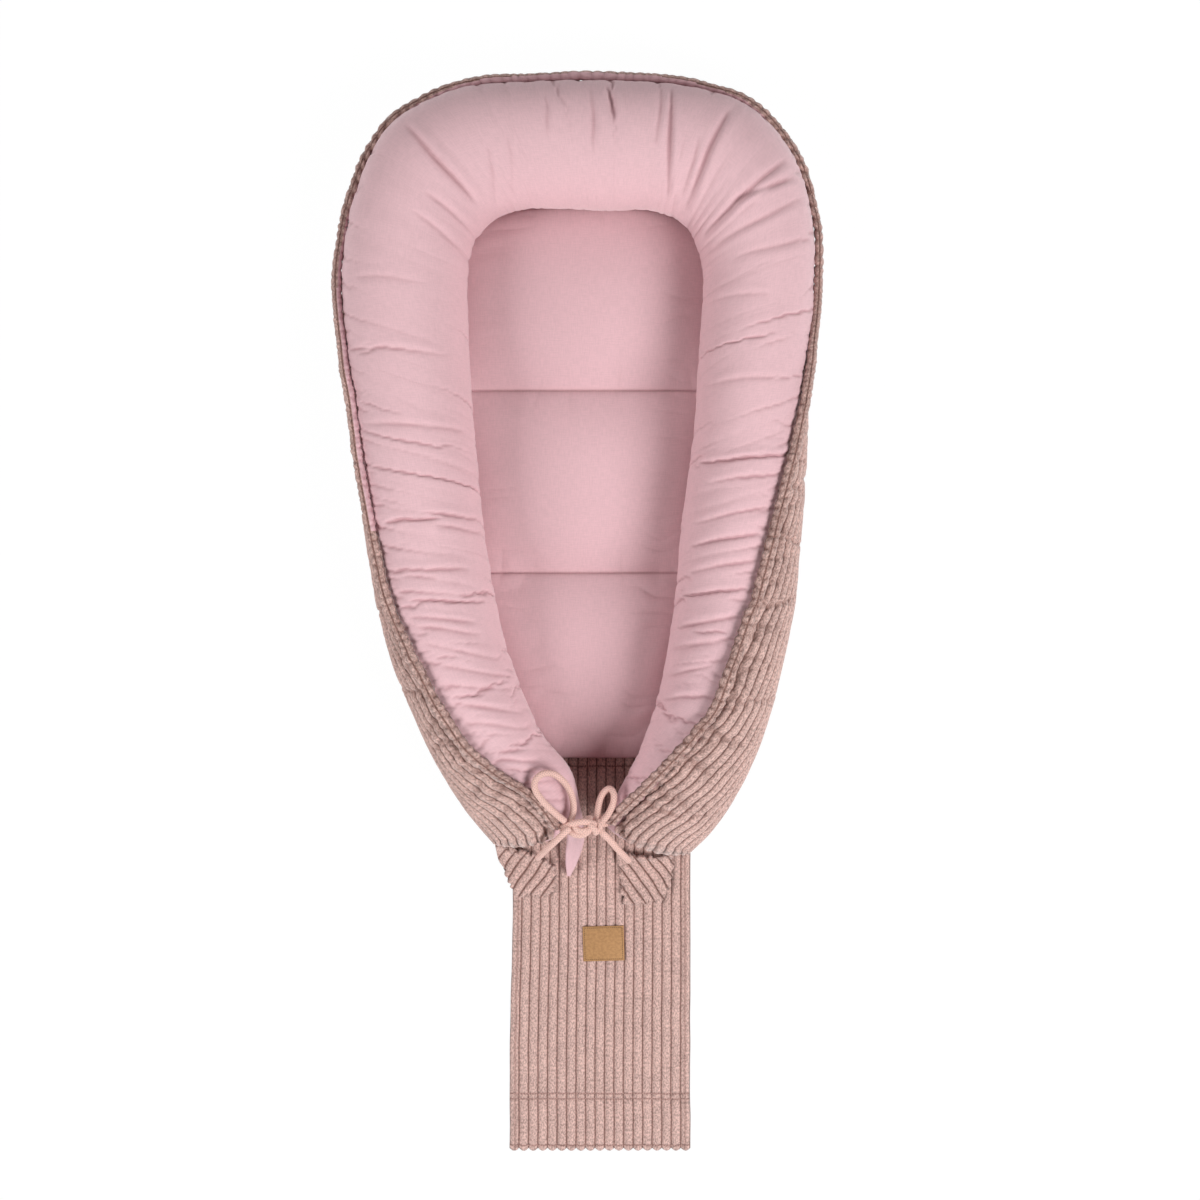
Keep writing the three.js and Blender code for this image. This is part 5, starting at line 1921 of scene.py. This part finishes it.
KNOT_STRANDS_MM = (
    (
        (-21.4, -226.4, 98.2), (-16, -225, 99), (-11, -222.5, 101.5), (-3, -220, 104),
        (6, -218.5, 104.5), (14, -220, 102.5), (19, -223, 99),
    ),
    (
        (-13, -220, 98), (-11, -227, 100), (-5, -232, 101), (3, -233, 102),
        (9, -230, 103), (13, -225, 103), (15, -220, 99),
    ),
    ((-9, -215, 96), (-7, -220.5, 101), (-3, -226, 103.5), (3, -228.5, 104), (10, -227, 102)),
    ((12, -215, 94), (11.5, -219, 101.5), (14.5, -224, 105.5), (18.5, -228.5, 103.5), (18, -231, 97)),
    ((17, -218, 92), (21, -219.5, 98), (22.5, -224, 101), (20, -228, 98)),
    ((31.4, -222.8, 79.7), (26, -223.5, 82), (20.5, -224.5, 87), (15, -224, 92), (10, -222, 95)),
)


def bow(sizes):
    """The drawstring's bow: two loops and two tails."""
    for name, node, route, far_end in (
        ("bow_left_loop", "bow_loop_left", LEFT_LOOP_MM, "object"),
        ("bow_right_loop", "bow_loop_right", RIGHT_LOOP_MM, "object"),
        ("bow_left_tail", "bow_tail_left", LEFT_TAIL_MM, "bare"),
        ("bow_right_tail", "bow_tail_right", RIGHT_TAIL_MM, "bare"),
    ):
        grid, uv, line = cord_along(route, sizes.cord_diameter, CORD_END)
        piece = grid_piece(name, NEST, "braided_cord", [node], grid, uv, around=True, ends=True)


def bow_knot(sizes):
    """The knot that holds the bow, wound from strands of the same cord."""
    work = bmesh.new()
    for route in KNOT_STRANDS_MM:
        grid, uv, _ = cord_along(route, sizes.cord_diameter, KNOT_END)
        strand = grid_mesh("strand", grid, uv, around=True, ends=True)
        work.from_mesh(strand)
        bpy.data.meshes.remove(strand)
    mesh = bpy.data.meshes.new("bow_wound_knot")
    work.to_mesh(mesh)
    work.free()
    finished("bow_wound_knot", mesh, NEST, "braided_cord", ["bow_knot"])


# Ends of the arms

TABS_PX = {
    "left": dict(
        top=((494, 839), (508, 844), (522, 849), (536, 853), (549, 860), (557, 866)),
        bottom=((513, 893), (520, 898), (530, 896), (538, 899), (546, 898), (553, 895)),
        left=((494, 839), (498, 860), (503, 872), (508, 884), (513, 893)),
        right=((557, 866), (557, 876), (556, 884), (555, 890), (553, 895)),
        slant=-0.62,
    ),
    "right": dict(
        top=((616, 846), (630, 852), (644, 855), (658, 854), (668, 853), (675, 854)),
        bottom=((622, 905), (632, 905), (642, 906), (650, 904), (658, 905), (665, 902)),
        left=((616, 846), (617, 862), (619, 878), (620, 893), (622, 905)),
        right=((675, 854), (675, 864), (673, 878), (670, 890), (665, 902)),
        slant=0.62,
    ),
}
TAB_POINTS = 90
TAB_WALL = 1.2 * MM
TAB_LIFT = 1.4 * MM
TAB_LEAST = 1.3 * MM
TAB_RIB_WANDER = 1.2 * MM
TAB_RIB_SPACING = 18 * MM
TAB_PUFF = 1.5 * MM
TAB_RUMPLE = 0.9 * MM
TAB_RUMPLE_SPACING = 14 * MM
TAB_LIP = 4.0 * MM
TAB_LIP_PUFF = 3.5 * MM


def filled_in(top, bottom, left, right, shares):
    """A surface between four edges, whose ends meet at its corners."""
    u, v = shares[None, :, None], shares[:, None, None]
    grid = (1 - v) * top[None] + v * bottom[None] + (1 - u) * left[:, None] + u * right[:, None]
    top_corners = (1 - u) * (1 - v) * top[0] + u * (1 - v) * top[-1]
    return grid - (top_corners + (1 - u) * v * bottom[0] + u * v * bottom[-1])


def tab(side, sizes):
    """The loose end of the corduroy cover past the drawstring."""
    edges = TABS_PX[side]
    node = "end_tab_" + side
    low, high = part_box(node)
    shares = np.linspace(0, 1, TAB_POINTS)
    lines = [
        spline([photo_place(*spot, high.z) for spot in edges[key]], shares)
        for key in ("top", "bottom", "left", "right")
    ]
    grid = filled_in(*lines, shares)
    slant = edges["slant"]
    turned = np.array([[math.cos(slant), math.sin(slant)], [-math.sin(slant), math.cos(slant)]])
    wander = noise(grid[..., :1] / TAB_RIB_SPACING, grid[..., 1:] / TAB_RIB_SPACING, 85)
    uv = grid @ turned.T + TAB_RIB_WANDER * wander
    middle = grid.mean(axis=(0, 1))
    from_middle = grid - middle
    bearing = np.arctan2(from_middle[..., 1], from_middle[..., 0])
    to_side, to_end = np.abs(2 * shares[None] - 1), np.abs(2 * shares[:, None] - 1)
    to_edge = 1 - np.maximum(to_side, to_end)
    puffs = np.abs(np.sin(bearing * 8 + 1.5 * noise(bearing * 3, 0, 83)))
    rim = fading(to_edge, 0.12)
    crown = 1 - (1 - np.clip(to_edge * 2.2, 0, 1)) ** 2
    ribs = wale_relief(uv[..., 0], sizes)
    tall = high.z - low.z - sizes.wale_height
    rumple = noise(grid[..., 0] / TAB_RUMPLE_SPACING, grid[..., 1] / TAB_RUMPLE_SPACING, 81)
    z = low.z + TAB_LIFT + tall * (0.25 + 0.75 * crown) * 0.7 + ribs * (1 - 0.5 * rim)
    z = z + TAB_PUFF * (puffs - 0.6) * rim * (to_edge > 0) + TAB_RUMPLE * rumple
    grid = middle + from_middle * (1 - 0.13 * (1 - puffs) * rim)[..., None]
    lip = near(shares, 0.05, 0.07)[:, None]
    z = np.clip(z, low.z + TAB_LEAST, high.z) + (TAB_LIP + TAB_LIP_PUFF * puffs) * lip
    # Painted shade in the notches between the rim's puffs
    piece = sheet_piece(
        "tab_" + side, None, "corduroy_cloth", [node], np.concatenate([grid, z[..., None]], axis=-1), uv,
        TAB_WALL, hollow=0.8 * (1 - puffs) ** 1.5 * rim)
    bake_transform(piece)


TONGUE_ROUTE_MM = (
    (-4, -224, 66), (-3.5, -236, 54), (-4.5, -248, 40), (-7, -262, 25), (-9.5, -275, 14), (-12, -289, 8),
)
TONGUE_HALF_WIDTHS_MM = (8.5, 9.5, 9.5, 8.4, 6.2, 2.0)
TONGUE_POINTS = 60
TONGUE_SIDES = 28
TONGUE_THICKNESS = 2.6 * MM
TONGUE_PLEAT = 0.9 * MM
TONGUE_MAP_STEP = 8 * MM


def tongue():
    """The cotton's pointed end between the arms."""
    shares = np.linspace(0, 1, TONGUE_POINTS)
    line = spline(np.array(TONGUE_ROUTE_MM) * MM, shares)
    wide = np.interp(shares, np.linspace(0, 1, len(TONGUE_HALF_WIDTHS_MM)), TONGUE_HALF_WIDTHS_MM) * MM
    turn = round_turns(TONGUE_SIDES)
    tangent = unit(np.gradient(line, axis=0))
    across = unit(np.cross(tangent, UP))
    up = np.cross(across, tangent)
    thin = np.minimum(0.4 * wide, TONGUE_THICKNESS)
    pleat = TONGUE_PLEAT * np.sin(3 * turn)[None] * (wide / wide.max())[:, None]
    grid = (
        line[:, None]
        + across[:, None] * (wide[:, None] * np.cos(turn))[..., None]
        + up[:, None] * (thin[:, None] * np.sin(turn) + pleat)[..., None]
    )
    uv = together((turn * TONGUE_MAP_STEP)[None], travelled(line)[:, None])
    piece = grid_piece(
        "arm_end_tongue", NEST, "cotton_cloth", ["arm_end_cotton_tongue"], grid, uv, around=True, ends=True)


# Stage

AMBIENT = 0.05
FLOOR_SIDE = 3.0
FLOOR_GLOW = 1.01
FLOOR_GLOW_SHARE = 0.97

# Each lamp's name, place, width and power. All point at the middle of the lounger
LAMPS = (
    ("foot_right", (1.6, -1.3, 2.1), 1.2, 70),
    ("left", (-2.0, -0.4, 1.6), 1.4, 45),
    ("right", (2.1, 0.2, 1.6), 1.4, 15),
    ("head", (0.3, 2.4, 1.1), 1.2, 12),
)


def add_lamp(name, place, size, power):
    """A square lamp that points at the middle of the lounger."""
    light = bpy.data.lights.new(name, "AREA")
    light.size = size
    light.energy = power
    lamp = added(name, light)
    lamp.location = place
    lamp.rotation_euler = (-lamp.location).to_track_quat("-Z", "Y").to_euler()


def add_camera():
    """A camera straight above, as in the photograph."""
    camera = bpy.data.cameras.new("camera")
    camera.sensor_width = SENSOR
    camera.lens = SENSOR * CAMERA_HEIGHT / (PHOTO_SIZE_PX * METRES_PER_PX)
    camera.clip_end = VIEW_DISTANCE
    holder = added("camera", camera)
    holder.location = (CAMERA_X, CAMERA_Y, CAMERA_HEIGHT)
    bpy.context.scene.camera = holder


def add_world():
    """White where the camera sees it, and a faint light on the lounger."""
    world = bpy.data.worlds.new("studio")
    world.use_nodes = True
    bpy.context.scene.world = world
    w = Wiring(world.node_tree)
    sky = world.node_tree.nodes["Background"]
    sky.inputs["Color"].default_value = (1, 1, 1, 1)
    w.join(w.math("MULTIPLY_ADD", w.seen(), 1 - AMBIENT, AMBIENT), sky.inputs["Strength"])


def add_floor():
    """A white floor that keeps a little of the object's shadow."""
    mesh = bpy.data.meshes.new("floor")
    corners = [(FLOOR_SIDE * x, FLOOR_SIDE * y, 0) for x, y in ((-1, -1), (1, -1), (1, 1), (-1, 1))]
    mesh.from_pydata(corners, [], [(0, 1, 2, 3)])
    floor = added("floor", mesh)
    material = bpy.data.materials.new("floor_white")
    material.use_nodes = True
    w = Wiring(material.node_tree)
    out = material.node_tree.nodes["Material Output"]
    matt = material.node_tree.nodes["Principled BSDF"]
    matt.inputs["Base Color"].default_value = (0.9, 0.9, 0.9, 1)
    matt.inputs["Roughness"].default_value = 1
    glow = w.add("ShaderNodeEmission")
    seen = w.seen()
    both = w.add("ShaderNodeMixShader")
    glow.inputs["Strength"].default_value = FLOOR_GLOW
    w.join(w.math("MULTIPLY", seen, FLOOR_GLOW_SHARE), both.inputs[0])
    w.join(matt.outputs[0], both.inputs[1])
    w.join(glow.outputs[0], both.inputs[2])
    w.join(both.outputs[0], out.inputs["Surface"])
    mesh.materials.append(material)


# Add-on


class LOUNGER_OT_stage(bpy.types.Operator):
    """Adds the floor, the lamps and the camera"""

    bl_idname = "lounger.stage"
    bl_label = "Stage"

    def execute(self, context):
        context.scene.view_settings.view_transform = "Standard"
        add_camera()
        add_world()
        add_floor()
        for lamp in LAMPS:
            add_lamp(*lamp)
        return {"FINISHED"}


class LOUNGER_OT_bolster(bpy.types.Operator):
    """Adds the bolster's covers and filling"""

    bl_idname = "lounger.bolster"
    bl_label = "Bolster"

    def execute(self, context):
        bolster_stuffing()
        bolster_cotton()
        bolster_corduroy(context.scene.lounger_sizes)
        return {"FINISHED"}


class LOUNGER_OT_mattress(bpy.types.Operator):
    """Adds the mattress, its quilting and the base under it"""

    bl_idname = "lounger.mattress"
    bl_label = "Mattress"

    def execute(self, context):
        mattress_top()
        mattress_bottom()
        mattress_pads()
        quilting()
        base_sheets(context.scene.lounger_sizes)
        return {"FINISHED"}


class LOUNGER_OT_flap(bpy.types.Operator):
    """Adds the foot flap with its lining, hem, stitches and label"""

    bl_idname = "lounger.flap"
    bl_label = "Flap"

    def execute(self, context):
        sizes = context.scene.lounger_sizes
        flap_cloth(sizes)
        flap_back()
        flap_hem(sizes)
        flap_stitches(sizes)
        label()
        return {"FINISHED"}


class LOUNGER_OT_drawstring(bpy.types.Operator):
    """Adds the casing, the drawstring and its bow"""

    bl_idname = "lounger.drawstring"
    bl_label = "Drawstring"

    def execute(self, context):
        sizes = context.scene.lounger_sizes
        casing()
        drawstring(sizes)
        bow(sizes)
        bow_knot(sizes)
        return {"FINISHED"}


class LOUNGER_OT_arm_ends(bpy.types.Operator):
    """Adds the tabs and the cotton tongue at the arms' ends"""

    bl_idname = "lounger.arm_ends"
    bl_label = "Arm ends"

    def execute(self, context):
        sizes = context.scene.lounger_sizes
        tab("left", sizes)
        tab("right", sizes)
        tongue()
        return {"FINISHED"}


class LOUNGER_PT_panel(bpy.types.Panel):
    """Sizes, colours and pieces of the lounger"""

    bl_idname = "LOUNGER_PT_panel"
    bl_label = "Infant lounger"
    bl_space_type = "VIEW_3D"
    bl_region_type = "UI"
    bl_category = "Lounger"

    def draw(self, context):
        layout = self.layout
        for group in (context.scene.lounger_sizes, context.scene.lounger_colours):
            for key in group.__annotations__:
                layout.prop(group, key)
        for operator in OPERATORS:
            layout.operator(operator.bl_idname)


OPERATORS = (
    LOUNGER_OT_stage,
    LOUNGER_OT_bolster,
    LOUNGER_OT_mattress,
    LOUNGER_OT_flap,
    LOUNGER_OT_drawstring,
    LOUNGER_OT_arm_ends,
)
CLASSES = (LoungerSizes, LoungerColours, *OPERATORS, LOUNGER_PT_panel)


def register():
    for item in CLASSES:
        bpy.utils.register_class(item)
    bpy.types.Scene.lounger_sizes = bpy.props.PointerProperty(type=LoungerSizes)
    bpy.types.Scene.lounger_colours = bpy.props.PointerProperty(type=LoungerColours)


def unregister():
    del bpy.types.Scene.lounger_colours
    del bpy.types.Scene.lounger_sizes
    for item in reversed(CLASSES):
        bpy.utils.unregister_class(item)


def main():
    register()
    bpy.ops.lounger.stage()
    bpy.ops.lounger.bolster()
    bpy.ops.lounger.mattress()
    bpy.ops.lounger.flap()
    bpy.ops.lounger.drawstring()
    bpy.ops.lounger.arm_ends()


if __name__ == "__main__":
    main()
